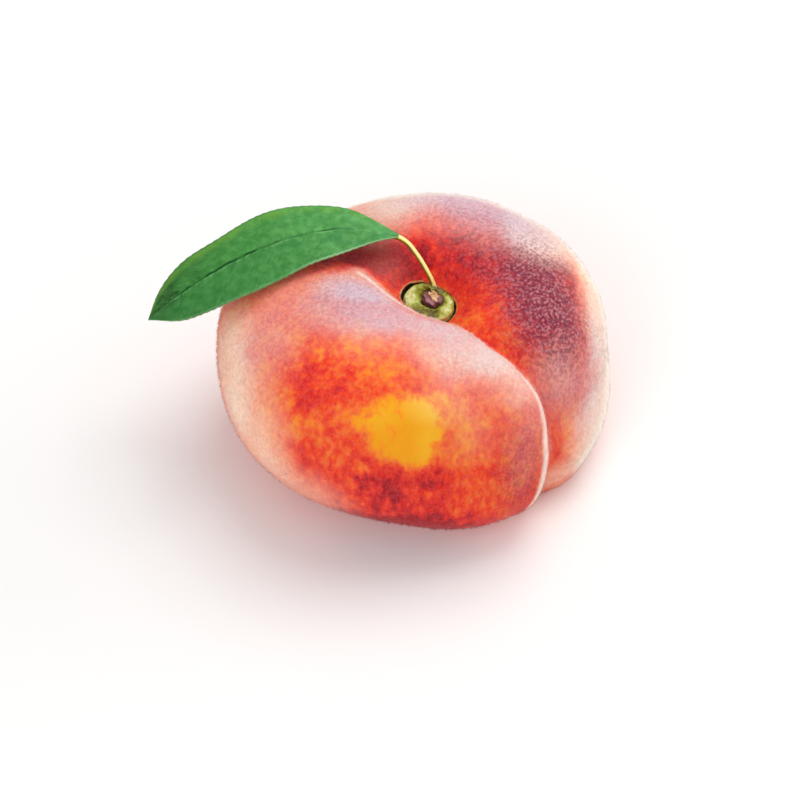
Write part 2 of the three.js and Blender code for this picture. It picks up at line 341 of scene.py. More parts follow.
def patch_group():
    """A soft rounded patch about a centre: 1 inside, 0 outside."""
    group, given, out = make_group(
        "Soft Patch",
        (("Point", VECTOR, None), ("Centre", VECTOR, None), ("Size", VECTOR, (0.01, 0.01, 0.01)),
         ("Edge", FLOAT, 0.5)),
        (("Mask", FLOAT),),
    )
    off = add_node(
        group, "ShaderNodeVectorMath", {0: given["Point"], 1: given["Centre"]},
        operation="SUBTRACT",
    ).outputs[0]
    scaled = add_node(
        group, "ShaderNodeVectorMath", {0: off, 1: given["Size"]}, operation="DIVIDE",
    ).outputs[0]
    apart = add_node(
        group, "ShaderNodeVectorMath", {0: scaled}, operation="LENGTH",
    ).outputs["Value"]
    inner = maths(group, "SUBTRACT", 1.0, given["Edge"])
    outer = maths(group, "ADD", 1.0, given["Edge"])
    group.links.new(remapped(group, apart, inner, outer, 1.0, 0.0), out["Mask"])
    return group


def mottle_group():
    """Cloudy speckle of one size, spread about 0 to 1 with a set contrast."""
    group, given, out = make_group(
        "Mottle",
        (("Point", VECTOR, None), ("Scale", FLOAT, 500.0), ("Detail", FLOAT, 2.0),
         ("Spread", FLOAT, 0.2)),
        (("Value", FLOAT),),
    )
    cloud = add_node(
        group, "ShaderNodeTexNoise",
        {"Vector": given["Point"], "Scale": given["Scale"], "Detail": given["Detail"]},
    ).outputs["Fac"]
    low = maths(group, "SUBTRACT", 0.5, given["Spread"])
    high = maths(group, "ADD", 0.5, given["Spread"])
    group.links.new(remapped(group, cloud, low, high), out["Value"])
    return group


def shared_group(name, maker):
    return bpy.data.node_groups.get(name) or maker()


def placed_patch(tree, point, centre_mm, size_mm, edge):
    """The mask of one soft patch, with its place and half sizes in millimetres."""
    made = add_node(tree, "ShaderNodeGroup", node_tree=shared_group("Soft Patch", patch_group))
    tree.links.new(point, made.inputs["Point"])
    made.inputs["Centre"].default_value = [c * MM for c in centre_mm]
    made.inputs["Size"].default_value = [r * MM for r in size_mm]
    made.inputs["Edge"].default_value = edge
    return made.outputs["Mask"]


def mottle(tree, point, scale, detail, spread):
    made = add_node(tree, "ShaderNodeGroup", node_tree=shared_group("Mottle", mottle_group))
    tree.links.new(point, made.inputs["Point"])
    made.inputs["Scale"].default_value = scale
    made.inputs["Detail"].default_value = detail
    made.inputs["Spread"].default_value = spread
    return made.outputs["Value"]


def object_point(tree):
    return add_node(tree, "ShaderNodeTexCoord").outputs["Object"]


def strayed(tree, point, scale, reach):
    """Points pushed about by soft noise, so that edges drawn on them stray."""
    noise = add_node(
        tree, "ShaderNodeTexNoise", {"Vector": point, "Scale": scale, "Detail": 3.0},
    ).outputs["Color"]
    centred = add_node(
        tree, "ShaderNodeVectorMath", {0: noise, 1: (0.5, 0.5, 0.5)}, operation="SUBTRACT",
    ).outputs[0]
    push = add_node(
        tree, "ShaderNodeVectorMath", {0: centred, "Scale": reach * MM}, operation="SCALE",
    ).outputs[0]
    return add_node(
        tree, "ShaderNodeVectorMath", {0: point, 1: push}, operation="ADD",
    ).outputs[0]


def bump(tree, height, strength, distance_mm, normal=None):
    inputs = {"Height": height, "Strength": strength, "Distance": distance_mm * MM}
    if normal is not None:
        inputs["Normal"] = normal
    return add_node(tree, "ShaderNodeBump", inputs).outputs["Normal"]


# ---- skin -------------------------------------------------------------------

# Where the skin is redder (above 0) or yellower (below 0) than its usual
# vermilion, and where shade is painted in as deeper red: centre and half sizes in millimetres, soft edge, amount.
USUAL_BLUSH = 0.56
BLUSH_AND_SHADE = (
    ((3.4, -29, 34.6), (6.4, 6, 5.8), 0.4, -0.52),
    ((9, -28, 37), (4.6, 5, 3.4), 0.5, -0.25),
    ((6.8, -31, 31), (3.4, 4, 4.6), 0.6, -0.40),
    ((13, -28, 34), (5.5, 5, 7), 0.8, -0.20),
    ((-5, -28, 36.4), (4.5, 5, 2.6), 0.8, -0.18),
    ((-4, -19, 42), (9, 6, 5), 0.8, -0.16),
    ((-18, -25, 31), (6, 6, 8), 0.9, -0.10),
    ((-26, -17, 27), (6, 12, 14), 0.8, -0.10),
    ((8, -34, 17), (18, 6, 9), 0.7, 0.16),
    ((-2, -32, 23), (3, 4, 2.6), 0.8, 0.22),
    ((3.5, -33.5, 19.5), (3.4, 4, 2.6), 0.8, 0.20),
    ((9, -33, 24.5), (3.6, 4, 2), 0.8, 0.22),
    # painted shade under the belly, deeper red towards the floor
    ((6, -33, 9), (18, 6, 5), 0.7, 0.44),
    ((2, -30, 5), (20, 8, 3), 0.8, 0.42),
    ((18, -32, 15), (7, 5, 7), 0.8, -0.18),
    ((-11, -22, 39), (5, 5, 5), 0.8, 0.20),
    ((9, 6, 37), (11, 10, 6), 0.7, 0.10),
    # painted shadow under the leaf stalk and along the leaf's lower edge
    ((0, 11, 38), (7, 6, 5), 0.8, 0.42),
    ((-8, 8.5, 41), (11, 3, 4), 0.8, 0.40),
    ((22, -5, 38), (8, 6, 5), 0.8, -0.04),
    ((22, 10, 40), (10, 10, 5), 0.8, 0.24),
    ((32, 0, 40), (8, 10, 6), 0.7, 0.30),
    ((6, 4, 0), (24, 22, 6), 0.6, -0.35),
)
# Where the bare ground colour is at its yellowest.
GILT = (
    ((9.5, -27, 38.2), (4.4, 4, 2.4), 0.8, 0.75),
    ((9, -30, 32), (2, 4, 4), 0.9, 0.45),
    ((0, -28, 37), (3, 4, 2), 0.9, 0.3),
)
# Where the skin is paler, under thicker down, and where light is painted in: pale highlights round the lobes'
# outlines, and lighter skin in the leaf's shadow and in the suture's shaded valley.
BLOOM_AND_PAINTED_LIGHT = (
    ((2, -8, 45), (16, 6, 3.5), 0.6, 0.64),
    ((-4, -1.8, 43.5), (8, 4.2, 4), 0.45, 0.56),
    ((0, -14, 44), (8, 5, 4), 0.8, 0.20),
    ((16, -16, 42.5), (9, 6, 4), 0.7, 0.80),
    ((13, -21, 41), (8, 5, 4), 0.8, 0.13),
    ((13, -26, 38), (6, 4, 3), 0.8, 0.14),
    ((25, -18.6, 38.8), (6, 5, 5), 0.8, 0.62),
    ((28, -21, 33), (5, 5, 5), 0.8, 0.20),
    ((-30, -11, 30), (6, 9, 13), 0.6, 0.62),
    ((-25, -21, 22), (7.4, 9, 11), 0.8, 0.68),
    ((-24, -13, 38), (7, 7, 6), 0.8, 0.26),
    ((-20, -8, 42), (9, 8, 4), 0.8, 0.20),
    # these two rows paint light into the leaf's shadow
    ((-15, -1.6, 43.5), (8, 5, 4), 0.8, 0.18),
    ((-28, -2, 33), (7, 7, 8), 0.8, 0.22),
    ((-16, -28, 14), (9, 6, 6), 0.8, 0.40),
    ((8, 28, 37), (22, 8, 8), 0.6, 0.62),
    ((9, 22, 42), (12, 6, 3), 0.8, 0.34),
    ((8, 32, 33), (30, 7, 9), 0.5, 0.34),
    ((-2, 19, 41), (7, 6, 4), 0.7, 0.46),
    ((1, 7, 39), (5, 4, 4), 0.8, 0.07),
    ((22, 17, 42), (8, 6, 4), 0.8, 0.42),
    ((33, 18, 37), (9, 9, 8), 0.6, 0.92),
    ((42.5, 6, 32), (4.4, 10, 9), 0.6, 0.80),
    ((45.5, -6, 24), (4.6, 9, 14), 0.7, 0.80),
    ((37, -13, 27), (6, 6, 11), 0.8, 0.26),
    ((38, 3, 36), (5, 7, 5), 0.8, 0.06),
    ((31, 13, 41), (6, 5, 3), 0.8, 0.42),
    ((43, -14, 12), (6, 7, 9), 0.7, 0.76),
    ((47, 4, 18), (8, 20, 16), 0.9, 0.46),
    ((32, 30, 24), (24, 13, 17), 0.9, 0.50),
    ((37, -21, 6.5), (6, 5, 5), 0.8, 0.62),
    ((28, -25, 26), (4, 6, 8), 0.8, 0.14),
    ((18, -28, 33), (5, 4, 6), 0.9, 0.14),
    # painted light in the suture's shaded valley
    ((33, -13, 31), (4, 4, 7), 0.8, 0.22),
)
# The front lobe's crest, where the down stands thickest and a highlight is painted along it, and how wide its bank
# is.
CREST = (
    (-4, 3, 42.5), (1, -2, 42.3), (5, -5, 41), (9.5, -7.5, 41), (16, -10.6, 40.8),
    (20, -13, 39.8), (25.3, -15.4, 36.6), (28.6, -16.8, 32), (31, -19, 25), (32, -20.5, 17),
    (31, -25, 9.5),
)
CREST_BANK = (0.5, 3.6)
# Painted highlights: pale lines where the down catches the light on the brinks of both lobes: places, reach, share.
BRINK_HIGHLIGHTS = (
    (CREST[:5], (0.2, 1.2), 0.62),
    (((16, -10.6, 40.8), (20, -13, 39.8), (25, -16.2, 37.2)), (0.3, 1.9), 0.5),
    (((26, -17, 36.6), (29, -20.4, 33.6), (30.2, -22.2, 30.6), (31.1, -23.8, 26), (31.5, -24.8, 21),
      (31.2, -26.1, 16), (30.3, -26.4, 10.6), (28.6, -26.2, 6)), (0.2, 1.5), 0.78),
    (((39, 15, 32), (42, 10, 29), (44, 5, 26), (45, 1, 18), (45, -3, 14), (41, -13, 7)), (1.6, 6.4), 0.82),
    (((0, 29, 36), (12, 29, 37), (18, 28, 37), (29, 24, 35), (39, 15, 32)), (0.6, 4.8), 0.5),
)
# Where that bloom is lilac and not cream.
LILAC = (
    ((2, -8, 45), (15, 8, 4), 0.8, 0.95),
    ((-8, -1, 43), (8, 6, 4), 0.8, 0.40),
    ((-20, -12, 39), (7, 7, 6), 0.8, 0.44),
    ((24, 18, 41), (14, 10, 6), 0.8, 0.80),
    ((10, 25, 40), (14, 7, 5), 0.8, 0.6),
    ((29, -22, 25), (5, 7, 12), 0.8, 0.70),
    ((19, -16, 41), (10, 7, 5), 0.8, 0.55),
    ((36, -10, 30), (6, 8, 12), 0.8, 0.60),
    ((42, -6, 24), (6, 12, 20), 0.6, 0.30),
)
MAUVE = (
    ((31, 2, 41), (8, 9, 4), 0.8, 0.78),
    ((33.5, -6, 37.2), (8, 7, 6), 0.8, 0.94),
    ((37, -11, 31), (7, 7, 9), 0.8, 0.30),
    ((25, 9, 41.5), (10, 8, 4), 0.8, 0.50),
    ((15, 19, 41), (9, 4, 4), 0.8, 0.26),
    ((27, -28, 21), (4, 6, 10), 0.8, 0.36),
    ((-7, -4, 44), (9, 7, 4), 0.8, 0.24),
    ((-21, -12, 39), (8, 7, 6), 0.8, 0.10),
)
# Size of each cloud of mottling per metre, contrast, and share of the blush.
MOTTLES = ((160.0, 0.22, 0.15), (430.0, 0.24, 0.20))
STREAKS = ((340.0, 0.22, 0.20), (950.0, 0.26, 0.26))
STREAK = (1.0, 1.0, 0.38)  # streaks are drawn out up and down the fruit
RIM_REACH = (0.4, 0.5)  # the dry rim round the stalk's socket, from the wall's foot


def summed(tree, point, rows, start):
    """A starting value with each patch's amount added where the patch is."""
    total = start
    for centre, size, edge, amount in rows:
        mask = placed_patch(tree, point, centre, size, edge)
        share = maths(tree, "MULTIPLY", mask, amount)
        total = maths(tree, "ADD", total, share)
    return total


def stretched(tree, point, scale):
    return add_node(tree, "ShaderNodeMapping", {"Vector": point, "Scale": scale}).outputs[0]


def line_group():
    """How far a point lies from a straight line between two places."""
    group, given, out = make_group(
        "Line Distance",
        (("Point", VECTOR, None), ("Start", VECTOR, None), ("Run", VECTOR, (0.01, 0.0, 0.0))),
        (("Distance", FLOAT),),
    )
    off = vector_maths(group, "SUBTRACT", given["Point"], given["Start"])
    along = vector_maths(group, "DOT_PRODUCT", off, given["Run"])
    length = vector_maths(group, "DOT_PRODUCT", given["Run"], given["Run"])
    share = maths(group, "DIVIDE", along, length, clamp=True)
    nearest = add_node(
        group, "ShaderNodeVectorMath", {0: given["Run"], "Scale": share}, operation="SCALE",
    ).outputs[0]
    apart = vector_maths(group, "LENGTH", vector_maths(group, "SUBTRACT", off, nearest))
    group.links.new(apart, out["Distance"])
    return group


def distance_from(tree, point, places_mm):
    """How far a point lies from a line through a row of places, in metres."""
    least = None
    for start, end in zip(places_mm, places_mm[1:]):
        made = add_node(tree, "ShaderNodeGroup", node_tree=shared_group("Line Distance", line_group))
        tree.links.new(point, made.inputs["Point"])
        made.inputs["Start"].default_value = [c * MM for c in start]
        made.inputs["Run"].default_value = [(e - c) * MM for c, e in zip(start, end)]
        apart = made.outputs["Distance"]
        least = apart if least is None else maths(tree, "MINIMUM", least, apart)
    return least


def band(tree, distance, reach_mm):
    """1 within the first distance and 0 beyond the second, in millimetres."""
    inner, outer = (reach * MM for reach in reach_mm)
    return remapped(tree, distance, inner, outer, 1.0, 0.0)


def beyond_socket(tree, point):
    """How far a point lies outside the foot of the socket's wall, in metres."""
    centre = (COLLAR["x"] + FRUIT_AXIS[0], COLLAR["y"] + FRUIT_AXIS[1])
    level = vector_maths(tree, "SUBTRACT", point, tuple(c * MM for c in (*centre, 0)))
    level = vector_maths(tree, "MULTIPLY", level, (1.0, 1.0, 0.0))
    turn = math.radians(LOBES["turn"])
    long_way = vector_maths(tree, "DOT_PRODUCT", level, (math.cos(turn), math.sin(turn), 0.0))
    apart = vector_maths(tree, "LENGTH", level)
    share = maths(tree, "DIVIDE", long_way, apart)
    # twice the angle's cosine, from the cosine itself
    twice = maths(tree, "SUBTRACT", maths(tree, "MULTIPLY", maths(tree, "MULTIPLY", share, share), 2.0), 1.0)
    lobes = maths(tree, "ADD", maths(tree, "MULTIPLY", twice, LOBES["swell"]), 1.0)
    rim = maths(tree, "MULTIPLY", lobes, (COLLAR["radius"] + SOCKET["clearance"]) * MM)
    return maths(tree, "SUBTRACT", apart, rim)


def colour_group(settings):
    """The skin's colour at each point, with painted light and shade in it, and how pale the skin is under bloom of
    down and painted light.
    """
    group, given, out = make_group(
        "Peach Colour", (("Point", VECTOR, None),), (("Colour", COLOUR), ("Bloom_And_Painted_Light", FLOAT)),
    )
    point = given["Point"]
    wide = strayed(group, point, 120.0, 3.5)
    loose = strayed(group, wide, 480.0, 2.2)
    # the blush, with the painted shade rows summed in
    blush = summed(group, loose, BLUSH_AND_SHADE, USUAL_BLUSH)
    drawn = stretched(group, point, STREAK)
    for at, clouds in ((point, MOTTLES), (drawn, STREAKS)):
        for scale, spread, amount in clouds:
            cloud = maths(group, "SUBTRACT", mottle(group, at, scale, 3.0, spread), 0.5)
            blush = maths(group, "ADD", blush, maths(group, "MULTIPLY", cloud, amount))
    colour = ramp(group, blush, (
        (0.00, settings.amber), (0.20, settings.gold), (0.40, settings.orange),
        (0.60, settings.vermilion), (0.80, settings.red), (1.00, settings.crimson),
    ))
    gilt = maths(group, "MULTIPLY", summed(group, wide, GILT, 0.0), remapped(group, blush, 0.02, 0.25, 1.0, 0.0))
    colour = blended(group, gilt, colour, settings.yellow)
    speck = mottle(group, point, 1500.0, 2.0, 0.22)
    mauve = summed(group, loose, MAUVE, 0.0)
    dusk = maths(group, "MULTIPLY", mauve, maths(group, "MULTIPLY_ADD", speck, 0.6))
    dusk.node.inputs[2].default_value = 0.65
    colour = blended(group, dusk, colour, settings.mauve)
    # bloom of down, with the painted light of its table added
    bloom = summed(group, loose, BLOOM_AND_PAINTED_LIGHT, 0.0)
    bloom = maths(group, "MULTIPLY", bloom, maths(group, "SUBTRACT", 1.15, maths(group, "MULTIPLY", speck, 0.3)), clamp=True)
    # pale down along the crest's bank, partly a painted highlight where the crest turns from view
    from_crest = distance_from(group, strayed(group, point, 300.0, 0.5), CREST)
    bank = maths(group, "MULTIPLY", band(group, from_crest, CREST_BANK), 0.5)
    bloom = maths(group, "MAXIMUM", bloom, bank)
    tint = blended(group, summed(group, wide, LILAC, 0.0), settings.cream, settings.lilac)
    colour = blended(group, bloom, colour, tint)
    # painted highlights along the brinks of both lobes
    for places, reach, amount in BRINK_HIGHLIGHTS:
        apart = distance_from(group, strayed(group, point, 300.0, 0.5), places)
        edge = maths(group, "MULTIPLY", band(group, apart, reach), amount)
        colour = blended(group, edge, colour, settings.crest)
    # fine light and dark curls of down, plainest where the skin is dusky
    shows = maths(group, "MULTIPLY_ADD", mauve, 0.4)
    shows.node.inputs[2].default_value = 0.09
    shows = maths(group, "MULTIPLY", shows, remapped(group, blush, 0.12, 0.4))
    upright = stretched(group, point, (1.0, 1.0, 0.7))
    for at, scale, most, tone in ((point, 1750.0, 0.75, settings.fuzz), (upright, 1500.0, 1.1, settings.wine)):
        curl = remapped(group, mottle(group, at, scale, 1.5, 0.2), 0.36, 0.8, 0.0, most)
        colour = blended(group, maths(group, "MULTIPLY", curl, shows), colour, tone)
    # the dry rim round the stalk's socket, and painted shade down the socket's wall
    beyond = beyond_socket(group, strayed(group, point, 700.0, 0.4))
    inner, outer = (reach * MM for reach in RIM_REACH)
    flaked = maths(group, "MULTIPLY_ADD", mottle(group, point, 620.0, 2.0, 0.12), 0.75)
    flaked.node.inputs[2].default_value = 0.2
    high = remapped(group, add_node(group, "ShaderNodeSeparateXYZ", {0: point}).outputs["Z"], 0.026, 0.028)
    within = maths(group, "MULTIPLY", remapped(group, beyond, outer, outer + 0.25 * MM, 1.0, 0.0), high)
    hollow = maths(group, "MULTIPLY", remapped(group, beyond, inner - 0.05 * MM, inner + 0.05 * MM, 1.0, 0.0), high)
    colour = blended(group, maths(group, "MULTIPLY", within, flaked), colour, settings.rim)
    colour = blended(group, hollow, colour, settings.socket)
    group.links.new(colour, out["Colour"])
    group.links.new(bloom, out["Bloom_And_Painted_Light"])
    return group


def peach_colour(tree, settings):
    group = shared_group("Peach Colour", lambda: colour_group(settings))
    made = add_node(tree, "ShaderNodeGroup", node_tree=group)
    tree.links.new(object_point(tree), made.inputs["Point"])
    return made.outputs


def skin_material(settings):
    material, tree, shader = new_material("peach skin")
    point = object_point(tree)
    tree.links.new(peach_colour(tree, settings)["Colour"], shader.inputs["Base Color"])
    grain = mottle(tree, point, 2600.0, 2.0, 0.3)
    dapple = mottle(tree, point, 420.0, 2.0, 0.3)
    relief = maths(tree, "ADD", grain, maths(tree, "MULTIPLY", dapple, 2.0))
    tree.links.new(bump(tree, relief, 0.35, 0.08), shader.inputs["Normal"])
    shader.inputs["Roughness"].default_value = 0.62
    shader.inputs["Specular IOR Level"].default_value = 0.12
    shader.inputs["Subsurface Weight"].default_value = 0.1
    shader.inputs["Subsurface Radius"].default_value = (0.0025, 0.0011, 0.0005)
    shader.inputs["Subsurface Scale"].default_value = 1.0
    shader.inputs["Sheen Weight"].default_value = 0.15
    shader.inputs["Sheen Roughness"].default_value = 0.35
    shader.inputs["Sheen Tint"].default_value = settings.sheen
    return material


def make_fruit(settings):
    fruit, directions = quad_ball("peach_skin", 63, 1)
    set_coordinates(fruit.data, fruit_points(directions))
    shade_smooth(fruit)
    roughened(fruit, "peach dapple", settings.dapple_size / MM, settings.dapple_depth / MM)
    keep_on_floor(fruit)
    return hand_over(fruit, skin_material(settings), "peach_fruit")


def keep_on_floor(piece):
    """No point lower than the surface that the fruit rests on."""
    points = coordinates(piece.data)
    points[:, 2] = np.maximum(points[:, 2], 0.0)
    set_coordinates(piece.data, points)


# ---- down -------------------------------------------------------------------

def scattered(mesh, count, rng):
    """Random points spread evenly over a mesh, with the normals there."""
    mesh.calc_loop_triangles()
    corners = np.empty(len(mesh.loop_triangles) * 3, dtype=np.int32)
    mesh.loop_triangles.foreach_get("vertices", corners)
    a, b, c = coordinates(mesh)[corners.reshape(-1, 3)].transpose(1, 0, 2)
    cross = np.cross(b - a, c - a)
    area = np.linalg.norm(cross, axis=1)
    picked = rng.choice(len(area), size=count, p=area / area.sum())
    u, v = rng.random((2, count))
    flip = u + v > 1
    u, v = np.where(flip, 1 - u, u)[:, None], np.where(flip, 1 - v, v)[:, None]
    points = a[picked] + u * (b - a)[picked] + v * (c - a)[picked]
    return points, cross[picked] / area[picked, None]


def unit(vectors):
    return vectors / np.maximum(np.linalg.norm(vectors, axis=1, keepdims=True), 1e-12)


def spikes(name, roots, normals, tips, radius, sides=3):
    """Slim closed spikes, one for each root, with their feet sunk a little in."""
    count = len(roots)
    side = unit(np.cross(normals, (tips - roots) + (0.31, 0.17, 0.11) * normals[:, ::-1]))
    other = np.cross(normals, side)
    corners = []
    for k in range(sides):
        turn = 2 * math.pi * k / sides
        out = side * math.cos(turn) + other * math.sin(turn)
        corners.append(roots - normals * 2 * radius + out * radius)
    points = np.stack((*corners, tips), axis=1).reshape(-1, 3)
    walls = [(k, (k + 1) % sides, sides) for k in range(sides)]
    foot = [(0, k + 1, k) for k in range(1, sides - 1)]
    first = (sides + 1) * np.arange(count)[:, None, None]
    faces = (first + np.array(walls + foot)[None]).reshape(-1, 3)
    return mesh_piece(name, points, faces)


def light_as_skin(hairs, normals):
    """Let each hair take the light as the skin at its root does."""
    shade_smooth(hairs)
    corners = len(hairs.data.vertices) // len(normals)
    hairs.data.normals_split_custom_set_from_vertices(np.repeat(normals, corners, axis=0).tolist())


def down_material(settings, skin):
    """Pale hairs, tinged with the skin that they grow from."""
    material, tree, shader = new_material("peach down")
    under = peach_colour(tree, skin)
    # hairs are paler where the bloom, with its painted light, is thick, whitest at the outlines
    share = maths(tree, "ADD", maths(tree, "MULTIPLY", under["Bloom_And_Painted_Light"], 0.8), settings.paleness)
    tree.links.new(blended(tree, share, under["Colour"], settings.down), shader.inputs["Base Color"])
    shader.inputs["Roughness"].default_value = 0.7
    shader.inputs["Specular IOR Level"].default_value = 0.05
    return material


def make_down(settings, skin_settings):
    """Short pale hairs over the skin, in tufts, in pieces of like size."""
    rng = np.random.default_rng(SEED)
    skin = bpy.data.objects["peach_skin"].data
    material = down_material(settings, skin_settings)
    socket = np.array((COLLAR["x"] + FRUIT_AXIS[0], COLLAR["y"] + FRUIT_AXIS[1])) * MM
    bare = (COLLAR["radius"] + SOCKET["clearance"] + 1.0) * MM
    for number in range(1, settings.pieces + 1):
        tufts = settings.hairs // settings.tuft
        roots, normals = scattered(skin, tufts, rng)
        lean = rng.normal(size=roots.shape) * settings.stray
        roots, normals, lean = (np.repeat(v, settings.tuft, axis=0) for v in (roots, normals, lean))
        spread = rng.normal(size=roots.shape) * settings.spread
        spread -= normals * (spread * normals).sum(axis=1, keepdims=True)
        from_stalk = np.hypot(*(roots[:, :2] - socket).T)
        grows = (roots[:, 2] > settings.length) & ((from_stalk > bare) | (roots[:, 2] < 0.02))
        roots, normals, lean, spread = roots[grows], normals[grows], lean[grows], spread[grows]
        comb = unit(np.cross(np.cross(normals, (0.2, -0.1, -1.0)), normals))
        stray = rng.normal(size=roots.shape) * settings.stray / 3
        way = unit(normals + settings.comb * comb + lean + stray)
        length = settings.length * rng.uniform(0.45, 1.0, (len(roots), 1))
        feet = roots + spread
        tips = roots + 0.6 * spread + way * length
        hairs = spikes(f"peach_down_{number}", feet, normals, tips, settings.thickness / 2)
        light_as_skin(hairs, normals)
        hand_over(hairs, material)
        hairs.visible_shadow = hairs.visible_diffuse = False


# ---- stalk ------------------------------------------------------------------

# The knob's outline from its foot up its side and over its top, down into the
# hollow round the broken face: share of its radius, share of its height.
KNOB_PROFILE = np.array((
    (0.0, 0.0), (0.80, 0.0), (0.95, 0.14), (1.0, 0.4), (1.02, 0.82), (1.01, 1.07),
    (0.94, 1.17), (0.8, 1.2), (0.64, 1.13), (0.52, 1.04), (0.45, 0.9), (0.0, 0.86),
))
BROKEN = {"x": 0.75, "y": 1.35, "radius": 2.1, "foot": 33.7, "height": 1.45}
# Hollows that run down the knob between its swellings: angle, spread, depth.
KNOB_HOLLOWS = ((-72, 20, 0.75), (35, 24, 0.6), (75, 14, 0.4), (185, 10, 0.25), (-25, 9, 0.22))
KNOB_TILT = 0.13  # rise of its top to the rear
TORN_FIBRES = 28


def polar(directions):
    """Angle round the upright axis, and share of the way from foot to top."""
    angle = np.arctan2(directions[:, 1], directions[:, 0])
    share = np.arccos(np.clip(-directions[:, 2], -1, 1)) / math.pi
    return angle, share


def hollow_depth(angle):
    """How deep the knob's hollows are at an angle round it, in millimetres."""
    depth = np.zeros_like(angle)
    for middle, spread, deep in KNOB_HOLLOWS:
        off = np.degrees(np.abs(np.angle(np.exp(1j * (angle - math.radians(middle))))))
        depth += deep * np.exp(-((off / spread) ** 2))
    return depth


def knob_points(angle, share):
    """The knob's surface at an angle round it and a share up its outline."""
    along = np.linspace(0, 1, len(KNOB_PROFILE))
    radial = np.interp(share, along, KNOB_PROFILE[:, 0])
    height = np.interp(share, along, KNOB_PROFILE[:, 1])
    lobes = lobe_factor(np.cos(angle), np.sin(angle))
    above = smooth_step(0.35, 0.6, share)
    inward = smooth_step(0.62, 0.9, share)
    hollow = hollow_depth(angle) * above * (1 - 0.8 * inward)
    ripple = 0.09 * np.sin(9 * angle + 14 * share) + 0.06 * np.sin(17 * angle - 9 * share)
    r = COLLAR["radius"] * radial * lobes - 0.45 * hollow + ripple * above * radial
    z = COLLAR["foot"] + COLLAR["height"] * height - 0.8 * hollow * smooth_step(0.45, 0.65, share)
    z += KNOB_TILT * above * r * np.sin(angle)
    x = COLLAR["x"] + FRUIT_AXIS[0] + BROKEN["x"] * inward + r * np.cos(angle)
    y = COLLAR["y"] + FRUIT_AXIS[1] + BROKEN["y"] * inward + r * np.sin(angle)
    return np.stack((x, y, z), axis=1) * MM


# Painted light on the knob's swellings and painted shade in the hollows between: place across its face
# from its axis, half sizes, amount.
KNOB_LIGHT_AND_SHADE = (
    ((-3.7, 2.0), (1.5, 2.6), 0.55), ((3.7, -1.8), (1.3, 2.6), 0.5), ((-0.6, -2.2), (2.6, 1.0), -0.3),
    ((3.0, 3.4), (1.8, 1.3), -0.5), ((0.6, 4.0), (1.6, 0.8), -0.3), ((1.2, -2.0), (1.2, 1.0), -0.2),
)


def knob_place(across, level):
    return (COLLAR["x"] + FRUIT_AXIS[0] + across[0], COLLAR["y"] + FRUIT_AXIS[1] + across[1], level)


def knob_material(settings):
    material, tree, shader = new_material("stalk knob")
    point = object_point(tree)
    height = add_node(tree, "ShaderNodeSeparateXYZ", {0: point}).outputs["Z"]
    top = (COLLAR["foot"] + COLLAR["height"]) * MM
    # painted light and shade: paler towards the top of the knob
    share = remapped(tree, height, top - 0.0026, top - 0.0002, 0.0, 0.42)
    rows = [(knob_place(at, top / MM), (*size, 3.0), 0.7, amount) for at, size, amount in KNOB_LIGHT_AND_SHADE]
    share = summed(tree, strayed(tree, point, 600.0, 0.8), rows, share)
    clouds = maths(tree, "SUBTRACT", mottle(tree, point, 900.0, 3.0, 0.22), 0.5)
    share = maths(tree, "ADD", share, maths(tree, "MULTIPLY", clouds, 0.5))
    colour = ramp(tree, share, (
        (0.0, settings.knob_shade), (0.25, settings.knob_olive), (0.6, settings.knob_green),
        (1.0, settings.knob_lit_pale),
    ))
    fine = mottle(tree, point, 2200.0, 3.0, 0.25)
    colour = blended(tree, maths(tree, "MULTIPLY", fine, 0.3), colour, settings.knob_olive)
    ridges = maths(tree, "ADD", fine, mottle(tree, point, 900.0, 3.0, 0.25))
    tree.links.new(colour, shader.inputs["Base Color"])
    tree.links.new(bump(tree, ridges, 0.6, 0.1), shader.inputs["Normal"])
    shader.inputs["Roughness"].default_value = 0.34
    shader.inputs["Subsurface Weight"].default_value = 0.08
    shader.inputs["Subsurface Radius"].default_value = (0.0008, 0.0009, 0.0003)
    shader.inputs["Subsurface Scale"].default_value = 1.0
    return material


def make_knob(settings):
    knob, directions = quad_ball("stalk_knob", 31, 1)
    angle, share = polar(directions)
    set_coordinates(knob.data, knob_points(angle, share))
    roughened(knob, "knob lumps", 1.1, 0.3)
    shade_smooth(knob)
    return hand_over(knob, knob_material(settings), "stalk_collar")


def wood_material(name, dark, light, relief_mm, streaks=()):
    """Torn wood; streaks are rows of places, reach, colour and share."""
    material, tree, shader = new_material(name)
    point = object_point(tree)
    rough = mottle(tree, point, 1300.0, 4.0, 0.2)
    colour = blended(tree, rough, dark, light)
    for places, reach, tint, share in streaks:
        streak = band(tree, distance_from(tree, strayed(tree, point, 900.0, 0.7), places), reach)
        colour = blended(tree, maths(tree, "MULTIPLY", streak, share), colour, tint)
    tree.links.new(colour, shader.inputs["Base Color"])
    tree.links.new(bump(tree, rough, 0.8, relief_mm), shader.inputs["Normal"])
    shader.inputs["Roughness"].default_value = 0.6
    return material


